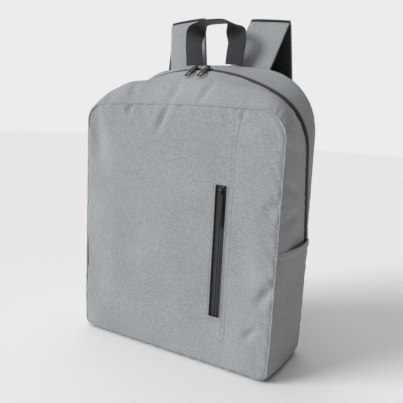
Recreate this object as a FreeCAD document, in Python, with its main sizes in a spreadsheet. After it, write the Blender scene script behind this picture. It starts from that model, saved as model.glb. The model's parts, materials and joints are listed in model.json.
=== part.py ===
import FreeCAD, Part
import math
import os

import Sketcher
from FreeCAD import Placement, Rotation, Vector

# Zip-round laptop daypack standing on its base, as separate sewn, moulded and cast pieces.
# Millimetres. X runs across the bag, the front panel faces -Y, Z is up.
# The origin is the middle of the base, on the surface that the bag stands on.

os.makedirs("parts", exist_ok=True)
doc = FreeCAD.newDocument("Daypack")

# ------------------------------------------------------------------ driving dimensions
SIZES = {
    # shared thicknesses and gaps
    "cloth": 2.0, "gap": 0.3,
    # the front seam: the outline of the front panel
    "front_y": -52.0, "front_half": 150.0, "front_top": 340.0,
    "front_corner": 36.0, "front_crown": 2500.0, "panel_low": 1.5,
    # the round top edge, where the front gusset is fullest
    "brow_y": -32.0, "brow_half": 154.0, "brow_top": 370.0,
    "brow_corner": 58.0, "brow_crown": 520.0,
    # the main zip runs in a plane that leans forward and meets the floor at zip_cross
    "zip_lean": 11.5, "zip_cross": 75.0, "zip_half": 154.5, "zip_top": 395.5,
    "zip_corner": 80.0, "zip_crown": 235.0, "zip_reach": 4.8, "zip_slot": 0.8,
    "layer_gap": 0.2, "cut_over": 1.0,
    "tape_sink": 0.5, "tape_thick": 1.0, "coil_thick": 1.4, "coil_wide": 2.4,
    # the back panel leans forward a little too
    "back_lean": 2.0, "back_cross": 56.0, "back_half": 153.0, "back_top": 399.0,
    "back_corner": 84.0, "back_crown": 520.0,
    # the arches end here, and the plain lower gusset goes on below
    "arch_low": 185.0, "tape_low": 186.2,
    # base tray
    "base_half": 149.7, "base_rise": 14.0, "base_front": -51.6, "base_rear": 55.2,
    "base_corner": 10.0, "base_round": 8.0,
    # lower side gussets and bottle pockets
    "side_front": -51.4, "side_rear": 58.0, "side_rear_half": 154.4, "side_sweep": 420.0,
    "pocket_sweep": 150.0, "pocket_low": 3.0, "pocket_high": 169.0, "pocket_wall": 1.5,
    "hem_rise": 11.0, "hem_thick": 0.9,
    # padded back
    "foam_half": 112.0, "foam_top": 376.0, "foam_low": 24.0, "foam_thick": 9.0,
    "foam_corner": 40.0, "skin": 1.4, "skin_lap": 4.0,
    # laptop sleeve
    "sleeve_half": 136.0, "sleeve_low": 18.0, "sleeve_high": 268.0,
    "sleeve_room": 12.0, "sleeve_wall": 4.0, "sleeve_side": 3.0, "binding_rise": 9.0,
    # seam bindings inside the bag
    "binding_wide": 6.0, "binding_thick": 1.2,
    "binding_front_sink": 3.2, "binding_rear_sink": 6.4, "binding_gap": 0.4,
    "end_stop_thick": 1.2,
    # front pocket zip and its bag
    "fz_x": 71.0, "fz_low": 70.0, "fz_high": 243.0, "fz_window": 16.0, "fz_tape": 28.0,
    "fz_lap": 8.0, "fz_coil": 5.2, "bag_left": -120.0, "bag_right": 88.0,
    "bag_low": 40.0, "bag_high": 262.0, "bag_depth": 12.0, "bag_wall": 1.2,
    # zip sliders and pullers
    "slider_long": 11.0, "slider_wide": 7.6, "slider_plate": 1.4, "slider_web": 1.0,
    "plate_above": 0.9, "plate_below": 1.9, "front_plate_below": 0.4, "eye_gap": 0.5,
    "lug_rim": 0.3, "neck_long": 3.0, "blade_lap": 0.5,
    "stop_long": 3.0, "stop_gap": 1.0,
    "slider_web_long": 6.0, "lug": 1.0, "bar_radius": 0.75, "eye_radius": 1.9,
    "eye_bore": 0.84, "eye_wide": 3.0, "pull_thick": 1.4,
    "main_pull_long": 28.0, "main_pull_wide": 6.4, "front_pull_long": 45.0,
    "front_pull_wide": 7.4, "pull_rim": 1.5, "pull_window": 0.42,
    "left_slider_turn": -0.8, "right_slider_turn": 3.8, "main_pull_droop": 20.0,
    # grab handle
    "grab_y": 38.5, "grab_low": 399.2, "grab_high": 459.0, "grab_inner": 19.0,
    "grab_outer": 47.0, "grab_thick": 1.6, "grab_wide": 25.0, "grab_chamfer": 19.0,
    "grab_shoulder": 0.45,
    # shoulder straps: up from the yoke, over a crest and down behind the back
    "strap_inner": 18.0, "strap_wide": 61.0, "strap_low": 393.3, "strap_base_y": 47.5,
    "crest_z": 465.0, "crest_y": 77.0, "crest_out": 19.0, "strap_end_z": 150.0,
    "strap_end_y": 77.5, "strap_end_out": 42.0, "cover": 1.2, "padding": 4.4, "mesh": 1.2,
    "yoke_half": 86.0, "yoke_low": 382.5, "yoke_high": 391.0, "yoke_front": 44.9,
    "yoke_thick": 8.5,
    # ladder locks, webbing and the tabs at the bottom corners
    "lock_x": 90.5, "lock_y": 81.0, "lock_z": 138.0, "lock_half": 17.0, "lock_low": 111.0,
    "lock_bar": 4.0, "lock_slot": 6.5, "lock_slot_half": 13.5, "webbing": 1.4,
    "webbing_half": 12.5, "loop_radius": 3.1, "tail_low": 22.0,
    "loop_turn": 1.0, "loop_bow": 1.05, "tab_drop": 9.0, "tab_tip": 20.0,
    "tab_in": 121.0, "tab_out": 151.0, "tab_low": 20.0, "tab_high": 58.0, "tab_thick": 2.4,
    "web_top_x": 93.0, "web_top_y": 76.6, "web_top_z": 106.0,
    "web_low_x": 133.0, "web_low_y": 60.4, "web_low_z": 47.0,
    "web_turn_y": 68.0, "web_turn_z": 58.0,
}

sheet = doc.addObject("Spreadsheet::Sheet", "Dims")
for row, (alias, number) in enumerate(SIZES.items(), start=1):
    sheet.set(f"A{row}", alias)
    sheet.set(f"B{row}", str(number))
    sheet.setAlias(f"B{row}", alias)
doc.recompute()


class Size:
    """A length or angle with the sheet formula that it comes from."""

    def __init__(self, value, formula):
        self.value = value
        self.formula = formula

    def __add__(self, other):
        other = as_size(other)
        return Size(self.value + other.value, f"({self.formula} + {other.formula})")

    def __sub__(self, other):
        other = as_size(other)
        return Size(self.value - other.value, f"({self.formula} - {other.formula})")

    def __mul__(self, other):
        other = as_size(other)
        return Size(self.value * other.value, f"({self.formula} * {other.formula})")

    def __truediv__(self, other):
        other = as_size(other)
        return Size(self.value / other.value, f"({self.formula} / {other.formula})")

    def __neg__(self):
        return self * -1

    __radd__ = __add__
    __rmul__ = __mul__


def as_size(number):
    return number if isinstance(number, Size) else Size(float(number), f"({float(number)})")


def dim(alias):
    return Size(SIZES[alias], f"Dims.{alias}")


def sine(angle):
    return Size(math.sin(math.radians(angle.value)), f"sin({angle.formula} * 1 deg)")


def cosine(angle):
    return Size(math.cos(math.radians(angle.value)), f"cos({angle.formula} * 1 deg)")


def tangent(angle):
    return sine(angle) / cosine(angle)


# ------------------------------------------------------------------ bodies and sketches
ZERO = as_size(0)
NODES = []


def plain_body(label):
    body = doc.addObject("PartDesign::Body", label)
    body.Label = label
    return body


def new_body(label):
    """A body that is a sub-part of its own."""
    body = plain_body(label)
    NODES.append(body)
    return body


def new_sketch(body, name, role, base=(ZERO, ZERO, ZERO), lean=ZERO):
    """A sketch on one of the body's own origin planes, moved by base and turned by lean."""
    sketch = body.newObject("Sketcher::SketchObject", name)
    plane = next(item for item in body.Origin.OriginFeatures if item.Role == role)
    sketch.AttachmentSupport = [(plane, "")]
    sketch.MapMode = "FlatFace"
    offset = Vector(*[size.value for size in base])
    turn = Rotation(Vector(1, 0, 0), lean.value)
    sketch.AttachmentOffset = Placement(offset, turn)
    for axis, size in zip("xyz", base):
        if size.value:
            sketch.setExpression(f"AttachmentOffset.Base.{axis}", size.formula)
    if lean.value:
        sketch.setExpression("AttachmentOffset.Rotation.Angle", lean.formula)
    return sketch


def bind(sketch, size, *constraint):
    index = sketch.addConstraint(Sketcher.Constraint(*constraint, size.value))
    sketch.setExpression(f"Constraints[{index}]", size.formula)


def pin(sketch, geometry, point, across, up):
    """Holds one end point at (across, up) from the sketch's own origin."""
    for kind, size, axis in (("DistanceX", across, -2), ("DistanceY", up, -1)):
        if abs(size.value) < 1e-9:
            sketch.addConstraint(Sketcher.Constraint("PointOnObject", geometry, point, axis))
        elif size.value > 0:
            bind(sketch, size, kind, -1, 1, geometry, point)
        else:
            bind(sketch, -size, kind, geometry, point, -1, 1)


def bow_centre(start, end, radius):
    """The centre of the arc from start to end that bows to the right of that direction."""
    chord = end - start
    right = Vector(chord.y, -chord.x, 0).normalize()
    drop = math.sqrt(radius ** 2 - (chord.Length / 2) ** 2)
    return (start + end) * 0.5 - right * drop


def add_outline(sketch, corners):
    """A closed outline. Each corner is (across, up) or (across, up, radius of the next side).

    A positive radius bows that side to the right of its direction, a negative one to the left.
    """
    points = [Vector(corner[0].value, corner[1].value, 0) for corner in corners]
    count = len(corners)
    first = sketch.GeometryCount
    ends = []
    for index, corner in enumerate(corners):
        start, end = points[index], points[(index + 1) % count]
        bow = corner[2] if len(corner) == 3 else None
        if bow is None:
            sketch.addGeometry(Part.LineSegment(start, end))
            ends.append((1, 2))
            continue
        radius = abs(bow.value)
        turn_left = bow.value < 0
        a, b = (end, start) if turn_left else (start, end)
        centre = bow_centre(a, b, radius)
        arc = Part.Circle(centre, Vector(0, 0, 1), radius)
        low = math.atan2(a.y - centre.y, a.x - centre.x)
        high = math.atan2(b.y - centre.y, b.x - centre.x)
        sketch.addGeometry(Part.ArcOfCircle(arc, low, high))
        ends.append((2, 1) if turn_left else (1, 2))
    for index in range(count):
        after = (index + 1) % count
        sketch.addConstraint(Sketcher.Constraint(
            "Coincident", first + index, ends[index][1], first + after, ends[after][0]))
    for index, corner in enumerate(corners):
        pin(sketch, first + index, ends[index][0], corner[0], corner[1])
        if len(corner) == 3:
            size = corner[2] if corner[2].value > 0 else -corner[2]
            bind(sketch, size, "Radius", first + index)


def rectangle(low_x, high_x, low_y, high_y):
    return [(low_x, low_y), (high_x, low_y), (high_x, high_y), (low_x, high_y)]


def pad(body, name, sketch, length):
    feature = body.newObject("PartDesign::Pad", name)
    feature.Profile = sketch
    feature.Length = length.value
    feature.setExpression("Length", length.formula)
    sketch.Visibility = False
    return feature


def cut(body, name, sketch, length, along_normal=False):
    """A pocket that goes against the sketch's normal, or along it, and has to remove something."""
    doc.recompute()
    before = body.Shape.Volume
    feature = body.newObject("PartDesign::Pocket", name)
    feature.Profile = sketch
    feature.Reversed = along_normal
    feature.Length = length.value
    feature.setExpression("Length", length.formula)
    doc.recompute()
    if not body.Shape.Volume < before - 1e-6:
        raise ValueError(f"{body.Label}: {name} removes nothing")
    return feature


# ------------------------------------------------------------------ arched outlines
class Slice:
    """A plane across the bag: upright at depth cross, or leaning forward by lean."""

    def __init__(self, cross, lean=ZERO):
        self.cross = cross
        self.lean = lean

    def sketch(self, body, name, ahead=ZERO):
        base = (ZERO, -(ahead * sine(self.lean)), ahead * cosine(self.lean) - self.cross)
        if not self.lean.value:
            base = (ZERO, ZERO, ahead - self.cross)
        return new_sketch(body, name, "XZ_Plane", base, self.lean)

    def local_height(self, height, ahead=ZERO):
        """The height above the floor, measured up the slice itself."""
        if not self.lean.value:
            return height
        return (height + ahead * sine(self.lean)) / cosine(self.lean)


FRONT = Slice(dim("front_y"))
BROW = Slice(dim("brow_y"))
ZIP = Slice(dim("zip_cross"), dim("zip_lean"))
BACK = Slice(dim("back_cross"), dim("back_lean"))


def arch_sizes(prefix, inset=ZERO):
    return {
        "half": dim(f"{prefix}_half") - inset,
        "top": dim(f"{prefix}_top") - inset,
        "corner": dim(f"{prefix}_corner") - inset,
        "crown": dim(f"{prefix}_crown") - inset,
    }


def add_arch(sketch, arch, low):
    """Upright sides, round shoulders and a shallow crown, closed by a level line at low."""
    half, top = arch["half"].value, arch["top"].value
    corner, crown = arch["corner"].value, arch["crown"].value
    centre_x = half - corner
    crown_z = top - crown
    centre_z = crown_z + math.sqrt((crown - corner) ** 2 - centre_x ** 2)
    meet = math.atan2(centre_z - crown_z, centre_x)
    up = Vector(0, 0, 1)
    level = low.value
    first = sketch.GeometryCount
    right_corner = Part.Circle(Vector(centre_x, centre_z, 0), up, corner)
    left_corner = Part.Circle(Vector(-centre_x, centre_z, 0), up, corner)
    crown_circle = Part.Circle(Vector(0, crown_z, 0), up, crown)
    for piece in (
            Part.LineSegment(Vector(half, level, 0), Vector(half, centre_z, 0)),
            Part.ArcOfCircle(right_corner, 0, meet),
            Part.ArcOfCircle(crown_circle, meet, math.pi - meet),
            Part.ArcOfCircle(left_corner, math.pi - meet, math.pi),
            Part.LineSegment(Vector(-half, centre_z, 0), Vector(-half, level, 0)),
            Part.LineSegment(Vector(-half, level, 0), Vector(half, level, 0))):
        sketch.addGeometry(piece)
    right, shoulder_r, crest, shoulder_l, left, foot = range(first, first + 6)
    for a, b in ((right, shoulder_r), (shoulder_r, crest), (crest, shoulder_l), (shoulder_l, left)):
        sketch.addConstraint(Sketcher.Constraint("Tangent", a, 2, b, 1))
    sketch.addConstraint(Sketcher.Constraint("Coincident", left, 2, foot, 1))
    sketch.addConstraint(Sketcher.Constraint("Coincident", foot, 2, right, 1))
    sketch.addConstraint(Sketcher.Constraint("Vertical", right))
    sketch.addConstraint(Sketcher.Constraint("Vertical", left))
    sketch.addConstraint(Sketcher.Constraint("Equal", shoulder_r, shoulder_l))
    sketch.addConstraint(Sketcher.Constraint("PointOnObject", crest, 3, -2))
    bind(sketch, arch["corner"], "Radius", shoulder_r)
    bind(sketch, arch["crown"], "Radius", crest)
    pin(sketch, right, 1, arch["half"], low)
    pin(sketch, foot, 1, -arch["half"], low)
    rise = arch["top"] - arch["crown"]
    if rise.value > 0:
        bind(sketch, rise, "DistanceY", -1, 1, crest, 3)
    else:
        bind(sketch, -rise, "DistanceY", crest, 3, -1, 1)


def arch_panel(label, place, ahead, thick, arch, low):
    """A flat panel with an arched outline, from ahead to ahead + thick in front of a slice."""
    body = new_body(label)
    sketch = place.sketch(body, f"{label}_outline", ahead)
    add_arch(sketch, arch, place.local_height(low, ahead))
    pad(body, f"{label}_pad", sketch, thick)
    return body


def arch_band(label, place, ahead, wide, arch, inner, low):
    """A strip that follows an arched outline: an arched panel with its middle cut away."""
    body = arch_panel(label, place, ahead, wide, arch, low)
    sketch = place.sketch(body, f"{label}_middle", ahead)
    add_arch(sketch, inner, place.local_height(low, ahead) - dim("base_rise"))
    cut(body, f"{label}_cut", sketch, wide + 1, along_normal=True)
    return body


def arch_shell(label, stations, low):
    """A strip of cloth drawn straight from slice to slice. A station is (slice, ahead, prefix)."""
    body = new_body(label)
    for kind, inset, drop in (("Additive", ZERO, ZERO), ("Subtractive", dim("cloth"), dim("base_rise"))):
        rings = []
        for index, (place, ahead, prefix) in enumerate(stations):
            ring = place.sketch(body, f"{label}_{kind.lower()}_{index}", ahead)
            add_arch(ring, arch_sizes(prefix, inset), place.local_height(low, ahead) - drop)
            rings.append(ring)
        doc.recompute()
        loft = body.newObject(f"PartDesign::{kind}Loft", f"{label}_{kind.lower()}_loft")
        loft.Profile = rings[0]
        loft.Sections = rings[1:]
        loft.Ruled = True
        doc.recompute()
    return body


def trim_behind_back(body, name):
    """Cuts a body off just in front of the leaning back panel."""
    sketch = new_sketch(body, name, "YZ_Plane")
    high = dim("back_top")
    low = -dim("base_rise")
    line = dim("back_cross") - dim("gap")
    far = dim("back_cross") * 2
    add_outline(sketch, [
        (line - low * tangent(dim("back_lean")), low), (far, low), (far, high),
        (line - high * tangent(dim("back_lean")), high)])
    doc.recompute()
    before = body.Shape.Volume
    pocket = body.newObject("PartDesign::Pocket", f"{name}_cut")
    pocket.Profile = sketch
    pocket.Type = "ThroughAll"
    pocket.Midplane = True
    doc.recompute()
    if not body.Shape.Volume < before - 1e-6:
        raise ValueError(f"{body.Label}: nothing trimmed behind the back")


# ------------------------------------------------------------------ plain solids
def solid_box(name, low, high):
    """A Part box between two corners whose coordinates are sizes."""
    box = doc.addObject("Part::Box", name)
    for side, a, b in zip(("Length", "Width", "Height"), low, high):
        size = as_size(b) - as_size(a)
        setattr(box, side, size.value)
        box.setExpression(side, size.formula)
    box.Placement = Placement(Vector(*[as_size(a).value for a in low]), Rotation())
    for axis, a in zip("xyz", low):
        box.setExpression(f"Placement.Base.{axis}", as_size(a).formula)
    return box


def solid_rod(name, radius, start, length, axis):
    """A Part cylinder of that radius from start, along the X, Y or Z axis."""
    rod = doc.addObject("Part::Cylinder", name)
    rod.Radius = radius.value
    rod.setExpression("Radius", radius.formula)
    rod.Height = length.value
    rod.setExpression("Height", length.formula)
    direction = {"x": Vector(1, 0, 0), "y": Vector(0, 1, 0), "z": Vector(0, 0, 1)}[axis]
    rod.Placement = Placement(Vector(*[as_size(a).value for a in start]),
                              Rotation(Vector(0, 0, 1), direction))
    for letter, a in zip("xyz", start):
        rod.setExpression(f"Placement.Base.{letter}", as_size(a).formula)
    return rod


def fused(label, solids):
    fuse = doc.addObject("Part::MultiFuse", label)
    fuse.Label = label
    fuse.Shapes = solids
    NODES.append(fuse)
    return fuse


# ------------------------------------------------------------------ base, sides and bottle pockets
def make_bottom_panel():
    body = new_body("bottom_panel")
    outline = new_sketch(body, "bottom_outline", "XY_Plane")
    add_outline(outline, rectangle(-dim("base_half"), dim("base_half"),
                                   dim("base_front"), dim("base_rear")))
    pad(body, "bottom_pad", outline, dim("base_rise"))
    doc.recompute()
    for name, alias, wanted in (
            ("bottom_corners", "base_corner", lambda box: box.ZLength > 1),
            ("bottom_round", "base_round", lambda box: box.ZMax < 0.01)):
        edges = [f"Edge{i + 1}" for i, edge in enumerate(body.Shape.Edges) if wanted(edge.BoundBox)]
        rounded = body.Tip
        fillet = body.newObject("PartDesign::Fillet", name)
        fillet.Base = (rounded, edges)
        fillet.Radius = SIZES[alias]
        fillet.setExpression("Radius", f"Dims.{alias}")
        doc.recompute()
    wall = dim("cloth")
    inside = new_sketch(body, "bottom_inside", "XY_Plane", (ZERO, ZERO, dim("base_rise")))
    add_outline(inside, rectangle(wall - dim("base_half"), dim("base_half") - wall,
                                  dim("base_front") + wall, dim("base_rear") - wall))
    cut(body, "bottom_hollow", inside, dim("base_rise") - wall * 2)


def side_outline(side, front_x, rear_x, outer, inner_front_x, inner_rear_x, inner):
    """A strip seen from above, bowed outwards: outer edge, then inner edge back again."""
    front, rear = dim("side_front"), dim("side_rear")
    if side > 0:
        return [(front_x, front, outer), (rear_x, rear),
                (inner_rear_x, rear, -inner), (inner_front_x, front)]
    return [(-front_x, front, -outer), (-rear_x, rear),
            (-inner_rear_x, rear, inner), (-inner_front_x, front)]


def make_side(side, name):
    front_x, rear_x = dim("front_half"), dim("side_rear_half")
    cloth, gap, wall = dim("cloth"), dim("gap"), dim("pocket_wall")
    sweep, bulge = dim("side_sweep"), dim("pocket_sweep")

    gusset = new_body(f"side_gusset_{name}")
    low = dim("base_rise") + gap
    sketch = new_sketch(gusset, f"side_gusset_{name}_plan", "XY_Plane", (ZERO, ZERO, low))
    add_outline(sketch, side_outline(side, front_x, rear_x, sweep,
                                     front_x - cloth, rear_x - cloth, sweep))
    pad(gusset, f"side_gusset_{name}_pad", sketch, dim("arch_low") - gap - low)
    trim_behind_back(gusset, f"side_gusset_{name}_trim")

    lap = gap + 0.1
    pocket = new_body(f"side_pocket_{name}")
    sketch = new_sketch(pocket, f"side_pocket_{name}_plan", "XY_Plane", (ZERO, ZERO, dim("pocket_low")))
    add_outline(sketch, side_outline(side, front_x + lap + wall, rear_x + lap + wall, bulge,
                                     front_x + lap, rear_x + lap, sweep))
    pad(pocket, f"side_pocket_{name}_pad", sketch, dim("pocket_high") - dim("pocket_low"))
    mouth = new_sketch(pocket, f"side_pocket_{name}_mouth", "XY_Plane", (ZERO, ZERO, dim("pocket_high")))
    add_outline(mouth, side_outline(side, front_x + lap, rear_x + lap, bulge,
                                    front_x - cloth, rear_x - cloth, sweep))
    cut(pocket, f"side_pocket_{name}_hollow", mouth,
        dim("pocket_high") - dim("pocket_low") - wall)
    trim_behind_back(pocket, f"side_pocket_{name}_trim")

    hem = new_body(f"pocket_hem_{name}")
    start = dim("pocket_high") - dim("hem_rise")
    outer = lap + wall + 0.1
    sketch = new_sketch(hem, f"pocket_hem_{name}_plan", "XY_Plane", (ZERO, ZERO, start))
    add_outline(sketch, side_outline(
        side, front_x + outer + dim("hem_thick"), rear_x + outer + dim("hem_thick"), bulge,
        front_x + outer, rear_x + outer, bulge))
    pad(hem, f"pocket_hem_{name}_pad", sketch, dim("hem_rise"))
    trim_behind_back(hem, f"pocket_hem_{name}_trim")


# ------------------------------------------------------------------ arched cloth, zips and bindings
def make_arches():
    reach, slot, low = dim("zip_reach"), dim("zip_slot"), dim("arch_low")
    arch_shell("front_gusset", [(FRONT, ZERO, "front"), (BROW, ZERO, "brow"), (ZIP, reach, "zip")], low)
    arch_shell("rear_gusset", [(ZIP, -reach, "zip"), (BACK, ZERO, "back")], low)
    tape_in = dim("tape_sink") + dim("tape_thick")
    coil_out = tape_in + 0.1
    coil_in = coil_out + dim("coil_thick")
    for name, tape_start, coil_start in (
            ("front", slot, slot), ("rear", -reach, -slot - dim("coil_wide"))):
        arch_band(f"zip_tape_{name}", ZIP, tape_start, reach - slot,
                  arch_sizes("zip", dim("tape_sink")), arch_sizes("zip", tape_in), dim("tape_low"))
        arch_band(f"zip_coil_{name}", ZIP, coil_start, dim("coil_wide"),
                  arch_sizes("zip", coil_out), arch_sizes("zip", coil_in), dim("tape_low"))
    # the rear gusset falls away from the back panel, so its binding sits deeper than the front one
    thick, wide = dim("binding_thick"), dim("binding_wide")
    front_sink, rear_sink = dim("binding_front_sink"), dim("binding_rear_sink")
    arch_band("front_seam_binding", FRONT, -wide - dim("binding_gap"), wide,
              arch_sizes("front", front_sink), arch_sizes("front", front_sink + thick), low)
    arch_band("rear_seam_binding", BACK, dim("binding_gap"), wide,
              arch_sizes("back", rear_sink), arch_sizes("back", rear_sink + thick), low)


def make_zip_ends():
    """The cloth stops that close the main zip at its two lower ends, on the rear tape."""
    body = new_body("zip_end_stops")
    low = ZIP.local_height(dim("tape_low"))
    for side in (-1, 1):
        sketch = ZIP.sketch(body, f"zip_end_{'left' if side < 0 else 'right'}", -dim("zip_reach"))
        inner = dim("zip_half") - dim("tape_sink") - dim("tape_thick") - dim("coil_thick") - dim("layer_gap")
        outer = inner - dim("end_stop_thick")
        across = sorted((inner * side, outer * side), key=lambda size: size.value)
        add_outline(sketch, rectangle(across[0], across[1], low, low + dim("hem_rise")))
        pad(body, f"zip_end_pad_{'left' if side < 0 else 'right'}", sketch,
            dim("zip_reach") - dim("zip_slot"))


# ------------------------------------------------------------------ front panel, pocket and its zip
def make_front():
    body = arch_panel("front_panel", FRONT, ZERO, dim("cloth"), arch_sizes("front"), dim("panel_low"))
    half = dim("fz_window") / 2
    window = FRONT.sketch(body, "front_window")
    add_outline(window, rectangle(dim("fz_x") - half, dim("fz_x") + half, dim("fz_low"), dim("fz_high")))
    cut(body, "front_window_cut", window, dim("cloth") + dim("cut_over"), along_normal=True)

    tape = new_body("pocket_zip_tape")
    depth = -dim("gap")
    lap = dim("fz_lap")
    plan = FRONT.sketch(tape, "pocket_tape_plan", depth - dim("tape_thick"))
    add_outline(plan, rectangle(dim("fz_x") - dim("fz_tape") / 2, dim("fz_x") + dim("fz_tape") / 2,
                                dim("fz_low") - lap, dim("fz_high") + lap))
    pad(tape, "pocket_tape_pad", plan, dim("tape_thick"))
    slot = FRONT.sketch(tape, "pocket_tape_slot", depth)
    add_outline(slot, rectangle(dim("fz_x") - dim("zip_slot"), dim("fz_x") + dim("zip_slot"),
                                dim("fz_low"), dim("fz_high")))
    cut(tape, "pocket_tape_cut", slot, dim("tape_thick") + dim("cut_over"))

    coil_front = depth - dim("tape_thick") - dim("layer_gap") / 2
    coils = []
    for side in (-1, 1):
        edges = sorted((dim("fz_x") + dim("zip_slot") * side, dim("fz_x") + dim("fz_coil") / 2 * side),
                       key=lambda size: size.value)
        coils.append(solid_box(
            f"pocket_coil_{'left' if side < 0 else 'right'}",
            (edges[0], dim("front_y") - coil_front, dim("fz_low")),
            (edges[1], dim("front_y") - coil_front + dim("coil_thick"), dim("fz_high"))))
    fused("pocket_zip_coil", coils)

    stops = []
    long, away = dim("stop_long"), dim("stop_gap")
    for name, low in (("low", dim("fz_low") - away - long), ("high", dim("fz_high") + away)):
        stops.append(solid_box(
            f"pocket_stop_{name}",
            (dim("fz_x") - dim("fz_coil") / 2, dim("front_y") - coil_front, low),
            (dim("fz_x") + dim("fz_coil") / 2, dim("front_y") - coil_front + dim("coil_thick"), low + long)))
    fused("pocket_zip_stops", stops)

    bag = new_body("front_pocket_bag")
    wall = dim("bag_wall")
    start = -dim("gap") - dim("layer_gap") / 2
    plan = FRONT.sketch(bag, "bag_plan", start - dim("bag_depth"))
    add_outline(plan, rectangle(dim("bag_left"), dim("bag_right"), dim("bag_low"), dim("bag_high")))
    pad(bag, "bag_pad", plan, dim("bag_depth"))
    hollow = FRONT.sketch(bag, "bag_hollow", start)
    add_outline(hollow, rectangle(dim("bag_left") + wall, dim("bag_right") - wall,
                                  dim("bag_low") + wall, dim("bag_high") - wall))
    cut(bag, "bag_cut", hollow, dim("bag_depth") - wall)


# ------------------------------------------------------------------ back panel and laptop sleeve
def make_back():
    cloth, foam, skin = dim("cloth"), dim("foam_thick"), dim("skin")
    arch_panel("back_panel", BACK, -cloth, cloth, arch_sizes("back"), dim("panel_low"))
    lap = dim("skin_lap")
    pad_arch = {"half": dim("foam_half"), "top": dim("foam_top"),
                "corner": dim("foam_corner"), "crown": dim("back_crown")}
    skin_arch = {key: size + lap for key, size in pad_arch.items()}
    arch_panel("back_foam", BACK, -cloth - dim("layer_gap") - foam, foam, pad_arch, dim("foam_low"))
    arch_panel("back_mesh", BACK, -cloth - dim("layer_gap") * 2 - foam - skin, skin, skin_arch,
               dim("foam_low") - lap)

    sleeve = new_body("laptop_sleeve")
    start = dim("gap")
    deep = dim("sleeve_room") + dim("sleeve_wall")
    plan = BACK.sketch(sleeve, "sleeve_plan", start)
    add_outline(plan, rectangle(-dim("sleeve_half"), dim("sleeve_half"),
                                dim("sleeve_low"), dim("sleeve_high")))
    pad(sleeve, "sleeve_pad", plan, deep)
    side = dim("sleeve_side")
    hollow = BACK.sketch(sleeve, "sleeve_hollow", start)
    add_outline(hollow, rectangle(side - dim("sleeve_half"), dim("sleeve_half") - side,
                                  dim("sleeve_low") + side, dim("sleeve_high") + side))
    cut(sleeve, "sleeve_cut", hollow, dim("sleeve_room"), along_normal=True)

    binding = new_body("sleeve_binding")
    plan = BACK.sketch(binding, "sleeve_binding_plan", start + dim("sleeve_room"))
    top = dim("sleeve_high") + dim("layer_gap")
    add_outline(plan, rectangle(-dim("sleeve_half"), dim("sleeve_half"),
                                top, top + dim("binding_rise")))
    pad(binding, "sleeve_binding_pad", plan, dim("sleeve_wall"))

    NODES.append(solid_box(
        "strap_yoke",
        (-dim("yoke_half"), dim("yoke_front"), dim("yoke_low")),
        (dim("yoke_half"), dim("yoke_front") + dim("yoke_thick"), dim("yoke_high"))))


# ------------------------------------------------------------------ zip sliders and pullers
def slider(label, bar_along, plates):
    """A slider in its own frame: travel along X, across the zip along Y, outwards along Z.

    plates holds the heights of the inner plate and the outer plate, and the bar's height.
    Its bar lies along X or along Y. The web between the plates runs in the slot of the chain.
    """
    inner, outer, bar_z = plates
    half_long, half_wide = dim("slider_long") / 2, dim("slider_wide") / 2
    plate, web, lug = dim("slider_plate"), dim("slider_web") / 2, dim("lug")
    web_long = dim("slider_web_long") / 2
    near = dim("eye_wide") / 2 + dim("layer_gap")
    solids = [
        solid_box(f"{label}_inner", (-half_long, -half_wide, inner - plate), (half_long, half_wide, inner)),
        solid_box(f"{label}_outer", (-half_long, -half_wide, outer), (half_long, half_wide, outer + plate)),
        solid_box(f"{label}_web", (-web_long, -web, inner), (web_long, web, outer)),
    ]
    bar = dim("bar_radius")
    for side in (-1, 1):
        low, high = sorted((near * side, (near + lug) * side), key=lambda size: size.value)
        name = f"{label}_lug_{'low' if side < 0 else 'high'}"
        across = (-bar - dim("lug_rim"), bar + dim("lug_rim"))
        top = bar_z + bar + dim("lug_rim")
        if bar_along == "x":
            solids.append(solid_box(name, (low, across[0], outer + plate), (high, across[1], top)))
        else:
            solids.append(solid_box(name, (across[0], low, outer + plate), (across[1], high, top)))
    reach = near + lug / 2
    start = (-reach, ZERO, bar_z) if bar_along == "x" else (ZERO, -reach, bar_z)
    solids.append(solid_rod(f"{label}_bar", bar, start, reach * 2, bar_along))
    return fused(label, solids)


def puller(label, long, wide, window):
    """A puller in its own frame: hinged on the X axis, and lying along -Y.

    With window, the outer part of its blade is an open rectangular loop.
    """
    thick, rim = dim("pull_thick") / 2, dim("pull_rim")
    half = wide / 2
    neck = dim("eye_wide") / 2
    knuckle = solid_rod(f"{label}_knuckle", dim("eye_radius"), (-neck, ZERO, ZERO), neck * 2, "x")
    neck_end = dim("eye_radius") + dim("neck_long")
    solids = [
        knuckle,
        solid_box(f"{label}_neck", (-neck, -neck_end, -thick), (neck, ZERO, thick)),
        solid_box(f"{label}_blade", (-half, -long, -thick), (half, -neck_end + dim("blade_lap"), thick)),
    ]
    whole = doc.addObject("Part::MultiFuse", f"{label}_blank")
    whole.Shapes = solids
    over = dim("cut_over")
    tool = solid_rod(f"{label}_bore", dim("eye_bore"), (-neck - over, ZERO, ZERO),
                     (neck + over) * 2, "x")
    if window:
        opening = solid_box(f"{label}_window", (rim - half, rim - long, -thick - over),
                            (half - rim, -long * dim("pull_window"), thick + over))
        bore = tool
        tool = doc.addObject("Part::MultiFuse", f"{label}_tools")
        tool.Shapes = [bore, opening]
    shape = doc.addObject("Part::Cut", label)
    shape.Label = label
    shape.Base = whole
    shape.Tool = tool
    NODES.append(shape)
    return shape


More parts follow.
